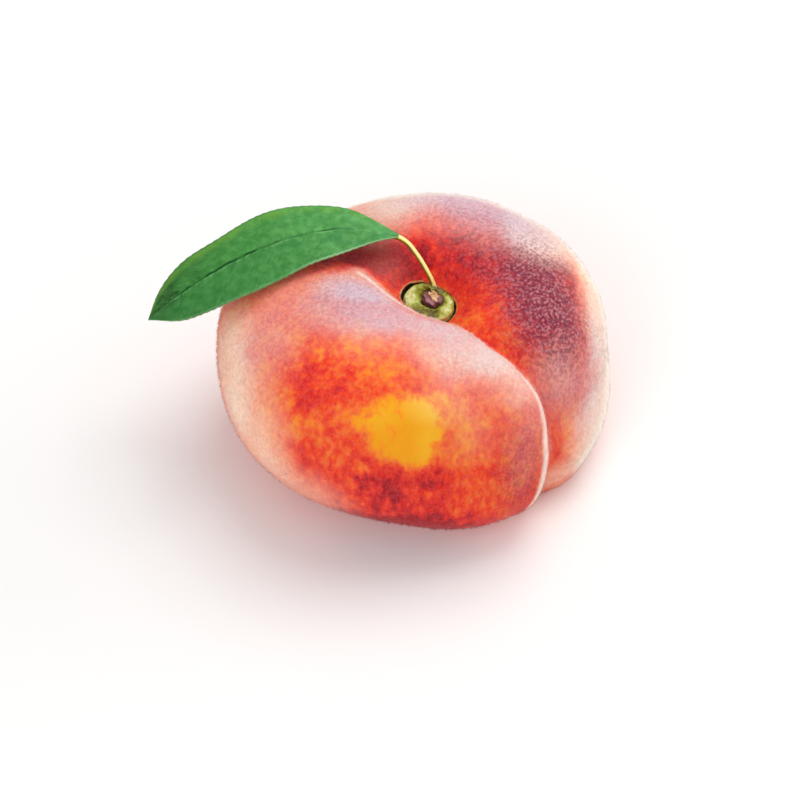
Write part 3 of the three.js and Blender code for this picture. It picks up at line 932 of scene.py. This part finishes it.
def make_broken_end(settings):
    """The torn face of the stalk: a plum dish with a ragged raised edge."""
    end, directions = quad_ball("stalk_broken_end", 31, 1)
    angle, share = polar(directions)
    radial = np.interp(share, (0, 0.3, 0.5, 0.62, 0.8, 1.0), (0, 0.9, 1.0, 0.9, 0.55, 0.0))
    height = np.interp(share, (0, 0.3, 0.5, 0.62, 0.8, 1.0), (0, 0.0, 0.7, 1.0, 0.62, 0.5))
    ragged = 1 + 0.05 * np.cos(5 * angle + 1) + 0.04 * np.cos(9 * angle)
    r = BROKEN["radius"] * radial * ragged
    x = COLLAR["x"] + FRUIT_AXIS[0] + BROKEN["x"] + r * np.cos(angle)
    y = COLLAR["y"] + FRUIT_AXIS[1] + BROKEN["y"] + r * np.sin(angle)
    z = BROKEN["foot"] + BROKEN["height"] * height
    torn = 0.14 * np.sin(6 * angle + 1) + 0.1 * np.sin(11 * angle)
    z += torn * smooth_step(0.5, 0.62, share) * smooth_step(1.0, 0.7, share)
    set_coordinates(end.data, np.stack((x, y, z), axis=1) * MM)
    roughened(end, "torn wood", 0.9, 0.3)
    shade_smooth(end)
    face = BROKEN["foot"] + 0.65 * BROKEN["height"]
    streaks = (
        ((knob_place((-0.8, 2.6), face), knob_place((0.7, 0.2), face)), (0.25, 0.8), settings.scar_mauve, 0.85),
        ((knob_place((2.2, 1.0), face), knob_place((2.7, 2.6), face)), (0.4, 1.1), settings.scar_mauve, 0.75),
    )
    material = wood_material("broken stalk", settings.scar_dark, settings.scar_plum, 0.12, streaks)
    return hand_over(end, material, "stalk_end")


def make_torn_fibres(settings):
    """Ragged tan slivers where the leaf stalk tears out of the broken face."""
    rng = np.random.default_rng(SEED + 1)
    along = rng.random(TORN_FIBRES)[:, None]
    line = (1 - along) * np.array((1.9, 1.6)) + along * np.array((0.5, 3.1))
    foot = line + rng.normal(size=(TORN_FIBRES, 2)) * (0.34, 0.22)
    roots = np.array([knob_place(at, 34.7 + 0.5 * rise) for at, rise in zip(foot, along[:, 0])])
    normals = unit(np.array((-0.1, -0.1, 1.0)) + rng.normal(size=(TORN_FIBRES, 3)) * 0.45)
    tips = roots + normals * rng.uniform(0.3, 0.6, (TORN_FIBRES, 1))
    radius = rng.uniform(0.35, 0.65, (TORN_FIBRES, 1))
    fibres = spikes("stalk_torn_fibres", roots * MM, normals, tips * MM, radius * MM, sides=7)
    shade_smooth(fibres)
    material = wood_material("torn fibres", settings.fibre_shade, settings.fibre_tan, 0.06)
    return hand_over(fibres, material)


# ---- leaf -------------------------------------------------------------------

PETIOLE_PATH = np.array((
    (3.5, 5.2, 34.7), (3.4, 5.6, 35.7), (3.0, 6.1, 36.8), (2.3, 6.8, 38.0), (1.5, 7.7, 39.1),
    (0.0, 9.2, 40.8), (-1.6, 10.5, 42.2), (-3.3, 11.2, 43.0), (-5.6, 11.2, 43.55),
))
MIDRIB = np.array((
    (-3.3, 11.3, 43.6), (-8.6, 11.2, 45.0), (-14.9, 10.9, 45.8), (-21.9, 9.4, 45.7),
    (-27.6, 7.7, 44.8), (-33.4, 5.9, 43.1), (-40.1, 3.4, 40.4), (-45.9, 0.7, 37.5),
    (-51.3, -2.2, 34.0),
))
WIDTH_AT = (0, 0.07, 0.2, 0.35, 0.5, 0.65, 0.8, 0.92, 1)
REAR_WIDTH = (0.5, 2.1, 5.7, 8.1, 8.4, 7.3, 6.0, 3.3, 0.12)
FRONT_WIDTH = (0.5, 2.3, 5.5, 7.4, 8.4, 8.4, 7.0, 4.3, 0.12)
BLADE = {"slope": 7.0, "teeth": 36, "tooth": 0.13, "wave": 0.2, "waves": 3}


def cubic_through(at, values, where):
    """A smooth curve through values, one row for each place in at."""
    at, values, where = np.asarray(at, float), np.asarray(values, float), np.asarray(where, float)
    slopes = np.gradient(values, at, axis=0)
    low = np.clip(np.searchsorted(at, where, side="right") - 1, 0, len(at) - 2)
    span = at[low + 1] - at[low]
    t = (where - at[low]) / span
    if values.ndim > 1:
        t, span = t[:, None], span[:, None]
    h00, h10 = 2 * t**3 - 3 * t**2 + 1, t**3 - 2 * t**2 + t
    h01, h11 = -2 * t**3 + 3 * t**2, t**3 - t**2
    return (h00 * values[low] + h10 * span * slopes[low]
            + h01 * values[low + 1] + h11 * span * slopes[low + 1])


def along_path(points, shares):
    """Points and unit tangents at shares of a path's length."""
    steps = np.linalg.norm(np.diff(points, axis=0), axis=1)
    at = np.concatenate(((0,), np.cumsum(steps))) / steps.sum()
    fine = np.linspace(0, 1, 800)
    route = cubic_through(at, points, fine)
    travelled = np.concatenate(((0,), np.cumsum(np.linalg.norm(np.diff(route, axis=0), axis=1))))
    travelled /= travelled[-1]
    where = np.stack([np.interp(shares, travelled, route[:, k]) for k in range(3)], axis=1)
    tangent = np.stack(
        [np.interp(shares, travelled, np.gradient(route[:, k])) for k in range(3)], axis=1,
    )
    return where, unit(tangent)


def make_petiole(settings):
    """The leaf stalk: a slim grooved tube, wider at both ends."""
    rings, sides = 120, 20
    share = np.linspace(0, 1, rings)
    centre, forward = along_path(PETIOLE_PATH, share)
    level = unit(np.cross(forward, (0.0, 0.0, 1.0)))
    over = np.cross(level, forward)
    radius = settings.petiole_radius / MM * (
        1 + 0.45 * np.exp(-((share / 0.07) ** 2)) + 0.12 * smooth_step(0.6, 0.9, share)
    )
    turn = np.linspace(0, 2 * math.pi, sides, endpoint=False)
    groove = 1 - 0.22 * np.exp(-(((turn - math.pi / 2) / 0.42) ** 2))
    ring = radius[:, None] * groove[None, :]
    points = (
        centre[:, None, :]
        + (ring * np.cos(turn))[..., None] * level[:, None, :]
        + (ring * np.sin(turn))[..., None] * over[:, None, :]
    ).reshape(-1, 3)
    points[:, 0] += FRUIT_AXIS[0]
    points[:, 1] += FRUIT_AXIS[1]
    faces = []
    for i in range(rings - 1):
        for k in range(sides):
            after = (k + 1) % sides
            faces.append((i * sides + k, i * sides + after, (i + 1) * sides + after, (i + 1) * sides + k))
    for end, order in ((0, -1), (rings - 1, 1)):
        middle = points[end * sides:(end + 1) * sides].mean(axis=0)
        points = np.vstack((points, middle))
        hub = len(points) - 1
        for k in range(sides):
            pair = (end * sides + k, end * sides + (k + 1) % sides)
            pair = pair if order == 1 else pair[::-1]
            faces.append((*pair, hub, hub))
    quads = [f for f in faces if f[2] != f[3]]
    caps = [f[:3] for f in faces if f[2] == f[3]]
    mesh = bpy.data.meshes.new("leaf_stalk")
    mesh.from_pydata((points * MM).tolist(), [], quads + caps)
    petiole = bpy.data.objects.new("leaf_stalk", mesh)
    bpy.context.scene.collection.objects.link(petiole)
    shade_smooth(petiole)
    return hand_over(petiole, petiole_material(settings), "leaf_petiole")


def petiole_material(settings):
    material, tree, shader = new_material("leaf stalk")
    point = object_point(tree)
    normal = add_node(tree, "ShaderNodeNewGeometry").outputs["Normal"]
    lit = add_node(
        tree, "ShaderNodeVectorMath", {0: normal, 1: (0.62, 0.45, 0.64)}, operation="DOT_PRODUCT",
    ).outputs["Value"]
    fleck = maths(tree, "MULTIPLY", mottle(tree, point, 1600.0, 2.0, 0.3), 0.18)
    share = remapped(tree, maths(tree, "ADD", lit, fleck), -0.55, 0.6)
    colour = ramp(tree, share, (
        (0.0, settings.petiole_olive), (0.55, settings.petiole_green), (1.0, settings.petiole_pale),
    ))
    tree.links.new(colour, shader.inputs["Base Color"])
    shader.inputs["Roughness"].default_value = 0.4
    shader.inputs["Subsurface Weight"].default_value = 0.1
    shader.inputs["Subsurface Radius"].default_value = (0.0006, 0.0008, 0.0002)
    shader.inputs["Subsurface Scale"].default_value = 1.0
    return material


def tooth_at(share):
    """How far the saw teeth stand out, leaning to the tip."""
    phase = np.mod(share * BLADE["teeth"], 1)
    rise = np.where(phase < 0.7, (phase / 0.7) ** 1.4, (1 - phase) / 0.3)
    faded = np.minimum(1, np.minimum(share * 6, (1 - share) * 8))
    return BLADE["tooth"] * rise * faded


def blade_surface(share, across):
    """The blade's middle surface and its upward normal, in millimetres."""
    centre, forward = along_path(MIDRIB, share)
    to_rear = unit(np.cross(forward, (0.0, 0.0, 1.0)))
    up = np.cross(to_rear, forward)
    slope = math.radians(BLADE["slope"])
    side = np.where(across < 0, -1.0, 1.0)
    outward = -side[:, None] * to_rear * math.cos(slope) - up * math.sin(slope)
    widths = np.where(
        across < 0,
        cubic_through(WIDTH_AT, REAR_WIDTH, share),
        cubic_through(WIDTH_AT, FRONT_WIDTH, share),
    )
    far = np.abs(across)
    reach = widths * far + tooth_at(share) * smooth_step(0.8, 1.0, far)
    wave = BLADE["wave"] * far ** 2 * np.sin(2 * math.pi * BLADE["waves"] * share + side)
    fold = 0.35 * (1 - np.exp(-(widths * far / 1.6) ** 2))
    return centre + outward * reach[:, None] + up * (wave + fold - 0.2)[:, None], up


def make_blade(settings):
    rows, half = 320, 22
    columns = 2 * half
    share = np.repeat(np.linspace(0, 1, rows + 1), columns + 1)
    across = np.tile(np.linspace(-1, 1, columns + 1), rows + 1)
    across = np.sign(across) * np.abs(across) ** 1.15
    middle, up = blade_surface(share, across)
    widths = np.where(
        across < 0,
        cubic_through(WIDTH_AT, REAR_WIDTH, share), cubic_through(WIDTH_AT, FRONT_WIDTH, share),
    )
    off_rib = widths * np.abs(across)
    vein = vein_height(share, across, off_rib)
    rib = np.exp(-((off_rib / 0.42) ** 2)) * (1 - 0.75 * share) * smooth_step(-0.02, 0.05, share)
    groove = np.exp(-((off_rib / 0.3) ** 2)) * smooth_step(0.16, 0.32, share) * (1 - 0.5 * share)
    half_thick = settings.thickness / MM / 2
    top = middle + up * (half_thick - 0.05 * vein - 0.2 * groove)[:, None]
    bottom = middle - up * (half_thick + 0.07 * vein + 0.75 * rib)[:, None]
    points = np.vstack((top, bottom))
    points[:, 0] += FRUIT_AXIS[0]
    points[:, 1] += FRUIT_AXIS[1]
    count = (rows + 1) * (columns + 1)
    index = np.arange(count).reshape(rows + 1, columns + 1)
    a, b, c, d = index[:-1, :-1], index[:-1, 1:], index[1:, 1:], index[1:, :-1]
    upper = np.stack((a, d, c, b), axis=-1).reshape(-1, 4)
    lower = np.stack((a, b, c, d), axis=-1).reshape(-1, 4) + count
    rims = []
    for edge in (index[:, 0], index[::-1, -1], index[-1, :], index[0, ::-1]):
        rims.append(np.stack((edge[:-1], edge[:-1] + count, edge[1:] + count, edge[1:]), axis=-1))
    blade = mesh_piece("leaf_blade_green", points * MM, np.vstack((upper, lower, *rims)))
    shade_smooth(blade)
    put_leaf_map(blade.data, np.tile(share, 2), np.tile(across, 2))
    return hand_over(blade, blade_material(settings), "leaf_blade")


SIDE_VEINS = 15


def vein_height(share, across, off_rib):
    """1 on a side vein and 0 between: veins leave the midrib and bend to the tip."""
    far = np.abs(across)
    phase = np.mod(share * SIDE_VEINS - 1.9 * far ** 1.35 + np.where(across < 0, 0.45, 0.0), 1)
    apart = np.minimum(phase, 1 - phase)
    fade = smooth_step(0.0, 0.6, off_rib) * smooth_step(1.0, 0.75, far)
    return np.exp(-((apart / 0.07) ** 2)) * fade


def put_leaf_map(mesh, share, across):
    """UV: along the blade, and from its rear edge to its front one."""
    layer = mesh.uv_layers.new(name="along the leaf")
    corners = np.empty(len(mesh.loops), dtype=np.int32)
    mesh.loops.foreach_get("vertex_index", corners)
    uv = np.stack((share[corners], 0.5 + 0.5 * across[corners]), axis=1)
    layer.data.foreach_set("uv", uv.ravel())


def blade_material(settings):
    material, tree, shader = new_material("leaf blade")
    uv = add_node(tree, "ShaderNodeUVMap", uv_map="along the leaf").outputs["UV"]
    parts = add_node(tree, "ShaderNodeSeparateXYZ", {0: uv}).outputs
    share, across = parts["X"], maths(tree, "MULTIPLY_ADD", parts["Y"], 2.0)
    across.node.inputs[2].default_value = -1.0
    far = maths(tree, "ABSOLUTE", across)
    point = object_point(tree)
    # the greens: pale at the base, deep at the tip, with painted shade on the front half
    cloud = mottle(tree, point, 260.0, 3.0, 0.25)
    depth = maths(tree, "ADD", share, maths(tree, "MULTIPLY", maths(tree, "SUBTRACT", cloud, 0.5), 0.22))
    green = ramp(tree, depth, (
        (0.0, settings.leaf_base), (0.3, settings.leaf_light), (0.62, settings.leaf_green),
        (0.82, settings.leaf_deep), (0.95, settings.leaf_tip),
    ))
    front = remapped(tree, across, -0.02, 0.08, 0.0, 0.42)
    green = blended(tree, front, green, settings.leaf_shade)
    # side veins, as on the mesh
    bend = maths(tree, "MULTIPLY", maths(tree, "POWER", far, 1.35), 1.9)
    shift = maths(tree, "MULTIPLY", maths(tree, "LESS_THAN", across, 0.0), 0.45)
    phase = maths(tree, "SUBTRACT", maths(tree, "MULTIPLY", share, float(SIDE_VEINS)), bend)
    phase = maths(tree, "ADD", maths(tree, "ADD", phase, shift), 8.0)
    apart = maths(tree, "PINGPONG", phase, 0.5)
    vein = remapped(tree, apart, 0.015, 0.075, 1.0, 0.0)
    veined = maths(tree, "MULTIPLY", vein, maths(tree, "MULTIPLY", cloud, 0.16))
    green = blended(tree, veined, green, settings.leaf_vein)
    # light and dark streaks that run with the veins, painted highlights on the puckers, and fine flecks
    lengthwise = add_node(
        tree, "ShaderNodeCombineXYZ", {0: maths(tree, "MULTIPLY", phase, 5.0), 1: maths(tree, "MULTIPLY", far, 3.5)},
    ).outputs[0]
    streak = mottle(tree, lengthwise, 1.3, 3.0, 0.25)
    green = blended(tree, maths(tree, "MULTIPLY", streak, 0.2), green, settings.leaf_vein)
    pucker = mottle(tree, strayed(tree, point, 500.0, 1.6), 560.0, 3.0, 0.12)
    lit = maths(tree, "MULTIPLY", pucker, remapped(tree, share, 0.1, 0.8, 0.42, 0.12))
    green = blended(tree, lit, green, settings.leaf_vein)
    fleck = mottle(tree, point, 620.0, 4.0, 0.2)
    green = blended(tree, maths(tree, "MULTIPLY", fleck, 0.42), green, settings.leaf_deep)
    # the midrib: painted shade down its groove, broken, for most of its length, pale at the base, with a painted
    # highlight beside it
    wander = maths(tree, "MULTIPLY", maths(tree, "SUBTRACT", mottle(tree, point, 420.0, 2.0, 0.3), 0.5), 0.05)
    from_rib = maths(tree, "ADD", across, wander)
    crease_shade = remapped(tree, maths(tree, "ABSOLUTE", from_rib), 0.012, 0.055, 1.0, 0.0)
    broken = maths(tree, "MULTIPLY_ADD", mottle(tree, point, 230.0, 2.0, 0.1), 0.75)
    broken.node.inputs[2].default_value = 0.35
    shine = maths(tree, "MULTIPLY", remapped(tree, from_rib, 0.03, 0.06), remapped(tree, from_rib, 0.06, 0.11, 1.0, 0.0))
    green = blended(tree, maths(tree, "MULTIPLY", maths(tree, "MULTIPLY", shine, pucker), 0.55), green, settings.leaf_vein)
    shaded_crease = maths(tree, "MULTIPLY", crease_shade, remapped(tree, share, 0.14, 0.3, 0.1, 0.95))
    green = blended(tree, maths(tree, "MULTIPLY", shaded_crease, broken), green, settings.leaf_crease_shade)
    # a yellow-green band inside the rear edge, and a painted highlight along the front edge near the stalk
    rear_edge = maths(tree, "MULTIPLY", remapped(tree, across, -0.6, -0.9, 0.0, 1.0), remapped(tree, across, -0.97, -0.93, 0.0, 1.0))
    green = blended(tree, maths(tree, "MULTIPLY", maths(tree, "MULTIPLY", rear_edge, cloud), 0.5), green, settings.leaf_gold)
    front_edge_highlight = maths(tree, "MULTIPLY", remapped(tree, across, 0.93, 0.985), remapped(tree, share, 0.2, 0.5, 0.7, 0.15))
    green = blended(tree, front_edge_highlight, green, settings.leaf_rim_highlight)
    # paler below
    up = add_node(tree, "ShaderNodeSeparateXYZ", {0: add_node(tree, "ShaderNodeNewGeometry").outputs["Normal"]})
    under = remapped(tree, up.outputs["Z"], -0.1, 0.1, 1.0, 0.0)
    below = blended(tree, remapped(tree, far, 0.02, 0.08, 1.0, 0.0), settings.leaf_under, settings.leaf_rib)
    below = blended(tree, maths(tree, "MULTIPLY", vein, 0.5), below, settings.leaf_rib)
    green = blended(tree, under, green, below)
    tree.links.new(green, shader.inputs["Base Color"])
    net = add_node(
        tree, "ShaderNodeTexVoronoi", {"Vector": point, "Scale": 1100.0}, feature="DISTANCE_TO_EDGE",
    ).outputs["Distance"]
    cells = remapped(tree, net, 0.0, 0.18)
    relief = maths(tree, "ADD", maths(tree, "ADD", cells, streak), maths(tree, "MULTIPLY", pucker, 2.0))
    tree.links.new(bump(tree, relief, 0.35, 0.07), shader.inputs["Normal"])
    rough = remapped(tree, streak, 0.0, 1.0, 0.42, 0.55)
    tree.links.new(rough, shader.inputs["Roughness"])
    shader.inputs["Specular IOR Level"].default_value = 0.16
    shader.inputs["Subsurface Weight"].default_value = 0.08
    shader.inputs["Subsurface Radius"].default_value = (0.0004, 0.0009, 0.0002)
    shader.inputs["Subsurface Scale"].default_value = 1.0
    return material


# ---- stage ------------------------------------------------------------------

VIEW_DISTANCE = 0.52
VIEW_ELEVATION = 50.0
PIXELS_PER_MM = 5.1
FRAME_PIXELS = 800
CENTRE_PIXEL = (414.7, 355.7)
SENSOR_MM = 36.0


def facing(place, target):
    """The turn that points a lamp's or a camera's back from a target to its place."""
    return (Vector(place) - Vector(target)).to_track_quat("Z", "Y").to_euler()


def make_camera():
    tilt = math.radians(VIEW_ELEVATION)
    centre = Vector((*FRUIT_AXIS, FORM["centre"])) * MM
    back = Vector((0, -math.cos(tilt), math.sin(tilt)))
    up = Vector((0, math.sin(tilt), math.cos(tilt)))
    off_x = (FRAME_PIXELS / 2 - CENTRE_PIXEL[0]) / PIXELS_PER_MM * MM
    off_y = (CENTRE_PIXEL[1] - FRAME_PIXELS / 2) / PIXELS_PER_MM * MM
    eye = centre + back * VIEW_DISTANCE
    target = centre + Vector((off_x, 0, 0)) + up * off_y
    bpy.ops.object.camera_add(location=eye, rotation=facing(eye, target))
    camera = bpy.context.object
    camera.name = "peach camera"
    camera.data.sensor_width = SENSOR_MM
    camera.data.lens = PIXELS_PER_MM / MM * VIEW_DISTANCE / FRAME_PIXELS * SENSOR_MM
    bpy.context.scene.camera = camera


def make_lamp(name, place, size, power, colour):
    target = (FRUIT_AXIS[0] * MM, FRUIT_AXIS[1] * MM, FORM["centre"] * MM)
    bpy.ops.object.light_add(type="AREA", location=place, rotation=facing(place, target))
    lamp = bpy.context.object
    lamp.name = name
    lamp.data.shape = "DISK"
    lamp.data.size = size
    lamp.data.energy = power
    lamp.data.color = colour


def make_floor(settings):
    deselect_all()
    bpy.ops.mesh.primitive_plane_add(size=settings.floor_size, location=(0, 0, 0))
    floor = active_piece("floor")
    material, tree, shader = new_material("pale floor")
    shader.inputs["Base Color"].default_value = settings.floor_colour
    shader.inputs["Roughness"].default_value = 0.6
    floor.data.materials.append(material)


def make_world(settings):
    world = bpy.data.worlds.new("soft studio")
    world.use_nodes = True
    background = next(n for n in world.node_tree.nodes if n.bl_idname == "ShaderNodeBackground")
    background.inputs["Color"].default_value = (1.0, 1.0, 1.0, 1.0)
    background.inputs["Strength"].default_value = settings.sky
    bpy.context.scene.world = world
    bpy.context.scene.view_settings.view_transform = "Standard"


# ---- what a user may change ---------------------------------------------------

def colour_property(name, description, red, green, blue):
    return bpy.props.FloatVectorProperty(
        name=name, description=description, subtype="COLOR", size=4, min=0.0, max=1.0,
        default=srgb(red, green, blue),
    )


def length_property(name, description, default_mm):
    return bpy.props.FloatProperty(
        name=name, description=description, unit="LENGTH", min=0.0, precision=5,
        default=default_mm * MM,
    )


class PeachSkinSettings(bpy.types.PropertyGroup):
    dapple_size: length_property("Dapple size", "Breadth of the skin's faint hollows", 6.0)
    dapple_depth: length_property("Dapple depth", "Height of the skin's faint hollows", 0.15)
    yellow: colour_property("Yellow", "Ground colour at its brightest", 246, 194, 48)
    amber: colour_property("Amber", "Ground colour where the blush begins", 240, 160, 22)
    gold: colour_property("Gold", "Between yellow and orange", 246, 142, 32)
    orange: colour_property("Orange", "Thin blush", 244, 108, 40)
    vermilion: colour_property("Vermilion", "Usual blush", 238, 66, 32)
    red: colour_property("Red", "Thick blush", 216, 38, 32)
    crimson: colour_property("Crimson", "Thickest blush", 164, 20, 30)
    mauve: colour_property("Mauve", "Deep bloom on the sunny shoulder", 132, 62, 80)
    # colour of the painted highlights on the lobes' brinks
    crest: colour_property("Crest", "Skin under the down at the crest's edge", 255, 246, 232)
    cream: colour_property("Cream", "Skin under thick down", 252, 217, 190)
    lilac: colour_property("Lilac", "Skin under thick down on the crest", 206, 182, 196)
    fuzz: colour_property("Fuzz", "Curls of down that catch the light", 226, 154, 158)
    wine: colour_property("Wine", "Skin between curls of down", 120, 22, 46)
    rim: colour_property("Rim", "Dry skin round the stalk's socket", 218, 172, 108)
    # painted shade in the socket's gap round the knob
    socket: colour_property("Socket", "Wall of the stalk's socket", 34, 14, 6)
    sheen: colour_property("Sheen", "Tint of the down's glow at the edges", 255, 244, 240)


class PeachDownSettings(bpy.types.PropertyGroup):
    pieces: bpy.props.IntProperty(
        name="Pieces", description="How many pieces hold the hairs", min=1, max=4, default=4)
    hairs: bpy.props.IntProperty(
        name="Hairs", description="Hairs sown in each piece", min=100, max=49000, default=44000)
    tuft: bpy.props.IntProperty(
        name="Tuft", description="Hairs that grow together", min=1, max=12, default=5)
    spread: length_property("Spread", "How far a tuft's hairs stand apart", 0.12)
    length: length_property("Length", "Longest hair", 0.6)
    thickness: length_property("Thickness", "A hair's thickness at its root", 0.032)
    comb: bpy.props.FloatProperty(
        name="Comb", description="How far hairs lean away from the stalk", min=0, max=2, default=0.4)
    stray: bpy.props.FloatProperty(
        name="Stray", description="How far each tuft leans its own way", min=0, max=2, default=0.55)
    paleness: bpy.props.FloatProperty(
        name="Paleness", description="Share of the down's own colour", min=0, max=1, default=0.02)
    down: colour_property("Down", "Colour of the hairs", 255, 236, 226)


class PeachStalkSettings(bpy.types.PropertyGroup):
    petiole_radius: length_property("Petiole radius", "Half the leaf stalk's thickness", 0.48)
    knob_shade: colour_property("Knob shade", "In the knob's hollows", 84, 76, 8)
    knob_olive: colour_property("Knob olive", "Low on the knob", 128, 124, 18)
    knob_green: colour_property("Knob green", "On the knob's lobes", 172, 184, 64)
    # painted light at the top of the knob
    knob_lit_pale: colour_property("Knob pale", "High on the knob", 232, 234, 160)
    scar_dark: colour_property("Scar dark", "Hollows of the broken face", 58, 16, 26)
    scar_plum: colour_property("Scar plum", "Ridges of the broken face", 108, 44, 54)
    scar_mauve: colour_property("Scar mauve", "Dry streaks of the broken face", 184, 130, 138)
    fibre_shade: colour_property("Fibre shade", "Between torn fibres", 232, 178, 120)
    fibre_tan: colour_property("Fibre tan", "Torn fibres", 255, 226, 182)
    petiole_olive: colour_property("Petiole olive", "Shaded side of the leaf stalk", 96, 92, 6)
    petiole_green: colour_property("Petiole green", "Side of the leaf stalk", 186, 182, 60)
    petiole_pale: colour_property("Petiole pale", "Lit side of the leaf stalk", 250, 236, 150)


class PeachLeafSettings(bpy.types.PropertyGroup):
    thickness: length_property("Thickness", "The blade's thickness off its ribs", 0.4)
    leaf_base: colour_property("Base", "Green by the stalk", 80, 154, 90)
    leaf_light: colour_property("Light", "Green of the near third", 66, 144, 68)
    leaf_green: colour_property("Green", "Green of the middle", 54, 128, 52)
    leaf_deep: colour_property("Deep", "Green of the far third", 34, 102, 34)
    leaf_tip: colour_property("Tip", "Green of the tip", 10, 60, 6)
    # painted shade on the front half of the blade
    leaf_shade: colour_property("Cool", "Bluer green of the front half", 34, 110, 52)
    leaf_vein: colour_property("Vein", "Side veins above", 116, 184, 104)
    # painted shade in the midrib's groove
    leaf_crease_shade: colour_property("Crease", "The midrib's groove", 6, 70, 22)
    leaf_gold: colour_property("Gold", "Inside the rear edge", 122, 172, 52)
    # painted highlight along the front edge
    leaf_rim_highlight: colour_property("Rim", "The front edge by the stalk", 168, 212, 160)
    leaf_under: colour_property("Underside", "The blade below", 128, 168, 112)
    leaf_rib: colour_property("Rib", "Ribs below", 190, 206, 132)


class PeachStageSettings(bpy.types.PropertyGroup):
    floor_size: length_property("Floor size", "Side of the floor", 6000.0)
    floor_colour: colour_property("Floor", "Colour of the floor", 240, 240, 240)
    sky: bpy.props.FloatProperty(
        name="Sky", description="Strength of the light all round", min=0, default=0.61)
    key: bpy.props.FloatProperty(
        name="Key", description="Power of the main lamp", unit="POWER", min=0, default=4.6)
    rim: bpy.props.FloatProperty(
        name="Rim", description="Power of the low lamp at the side", unit="POWER", min=0, default=1.9)
    fill: bpy.props.FloatProperty(
        name="Fill", description="Power of the front lamp", unit="POWER", min=0, default=4.0)


# ---- operators -----------------------------------------------------------------

class PEACH_OT_fruit(bpy.types.Operator):
    """Model the fruit and its skin"""
    bl_idname = "peach.fruit"
    bl_label = "Fruit"

    def execute(self, context):
        make_fruit(context.scene.peach_skin)
        return {"FINISHED"}


class PEACH_OT_down(bpy.types.Operator):
    """Grow the down over the skin"""
    bl_idname = "peach.down"
    bl_label = "Down"

    def execute(self, context):
        make_down(context.scene.peach_down, context.scene.peach_skin)
        return {"FINISHED"}


class PEACH_OT_stalk(bpy.types.Operator):
    """Model the stalk's knob and its broken face"""
    bl_idname = "peach.stalk"
    bl_label = "Stalk end"

    def execute(self, context):
        make_knob(context.scene.peach_stalk)
        make_broken_end(context.scene.peach_stalk)
        make_torn_fibres(context.scene.peach_stalk)
        return {"FINISHED"}


class PEACH_OT_petiole(bpy.types.Operator):
    """Model the leaf stalk"""
    bl_idname = "peach.petiole"
    bl_label = "Leaf stalk"

    def execute(self, context):
        make_petiole(context.scene.peach_stalk)
        return {"FINISHED"}


class PEACH_OT_leaf(bpy.types.Operator):
    """Model the leaf's blade"""
    bl_idname = "peach.leaf"
    bl_label = "Leaf blade"

    def execute(self, context):
        make_blade(context.scene.peach_leaf)
        return {"FINISHED"}


class PEACH_OT_stage(bpy.types.Operator):
    """Set the floor, the lights and the camera"""
    bl_idname = "peach.stage"
    bl_label = "Stage"

    def execute(self, context):
        settings = context.scene.peach_stage
        make_world(settings)
        make_floor(settings)
        make_lamp("key lamp", (0.25, 0.35, 0.9), 0.7, settings.key, (1.0, 0.98, 0.95))
        make_lamp("rim lamp", (0.8, 0.3, 0.3), 0.5, settings.rim, (1.0, 0.99, 0.96))
        make_lamp("front lamp", (-0.5, -0.8, 0.6), 0.9, settings.fill, (0.96, 0.98, 1.0))
        make_camera()
        return {"FINISHED"}


class PEACH_PT_pieces(bpy.types.Panel):
    """Lists the peach's pieces in the sidebar"""
    bl_idname = "PEACH_PT_pieces"
    bl_label = "Flat Peach"
    bl_space_type = "VIEW_3D"
    bl_region_type = "UI"
    bl_category = "Peach"

    def draw(self, context):
        for operator in OPERATORS:
            self.layout.operator(operator.bl_idname)


SETTINGS = {
    "peach_skin": PeachSkinSettings, "peach_down": PeachDownSettings,
    "peach_stalk": PeachStalkSettings, "peach_leaf": PeachLeafSettings,
    "peach_stage": PeachStageSettings,
}
OPERATORS = (
    PEACH_OT_fruit, PEACH_OT_down, PEACH_OT_stalk, PEACH_OT_petiole, PEACH_OT_leaf,
    PEACH_OT_stage,
)


def register():
    for made in (*SETTINGS.values(), *OPERATORS, PEACH_PT_pieces):
        bpy.utils.register_class(made)
    for name, kind in SETTINGS.items():
        setattr(bpy.types.Scene, name, bpy.props.PointerProperty(type=kind))


def unregister():
    for name in SETTINGS:
        delattr(bpy.types.Scene, name)
    for made in (PEACH_PT_pieces, *reversed(OPERATORS), *reversed(SETTINGS.values())):
        bpy.utils.unregister_class(made)


def main():
    register()
    bpy.ops.peach.fruit()
    bpy.ops.peach.down()
    bpy.ops.peach.stalk()
    bpy.ops.peach.petiole()
    bpy.ops.peach.leaf()
    bpy.ops.peach.stage()


if __name__ == "__main__":
    main()
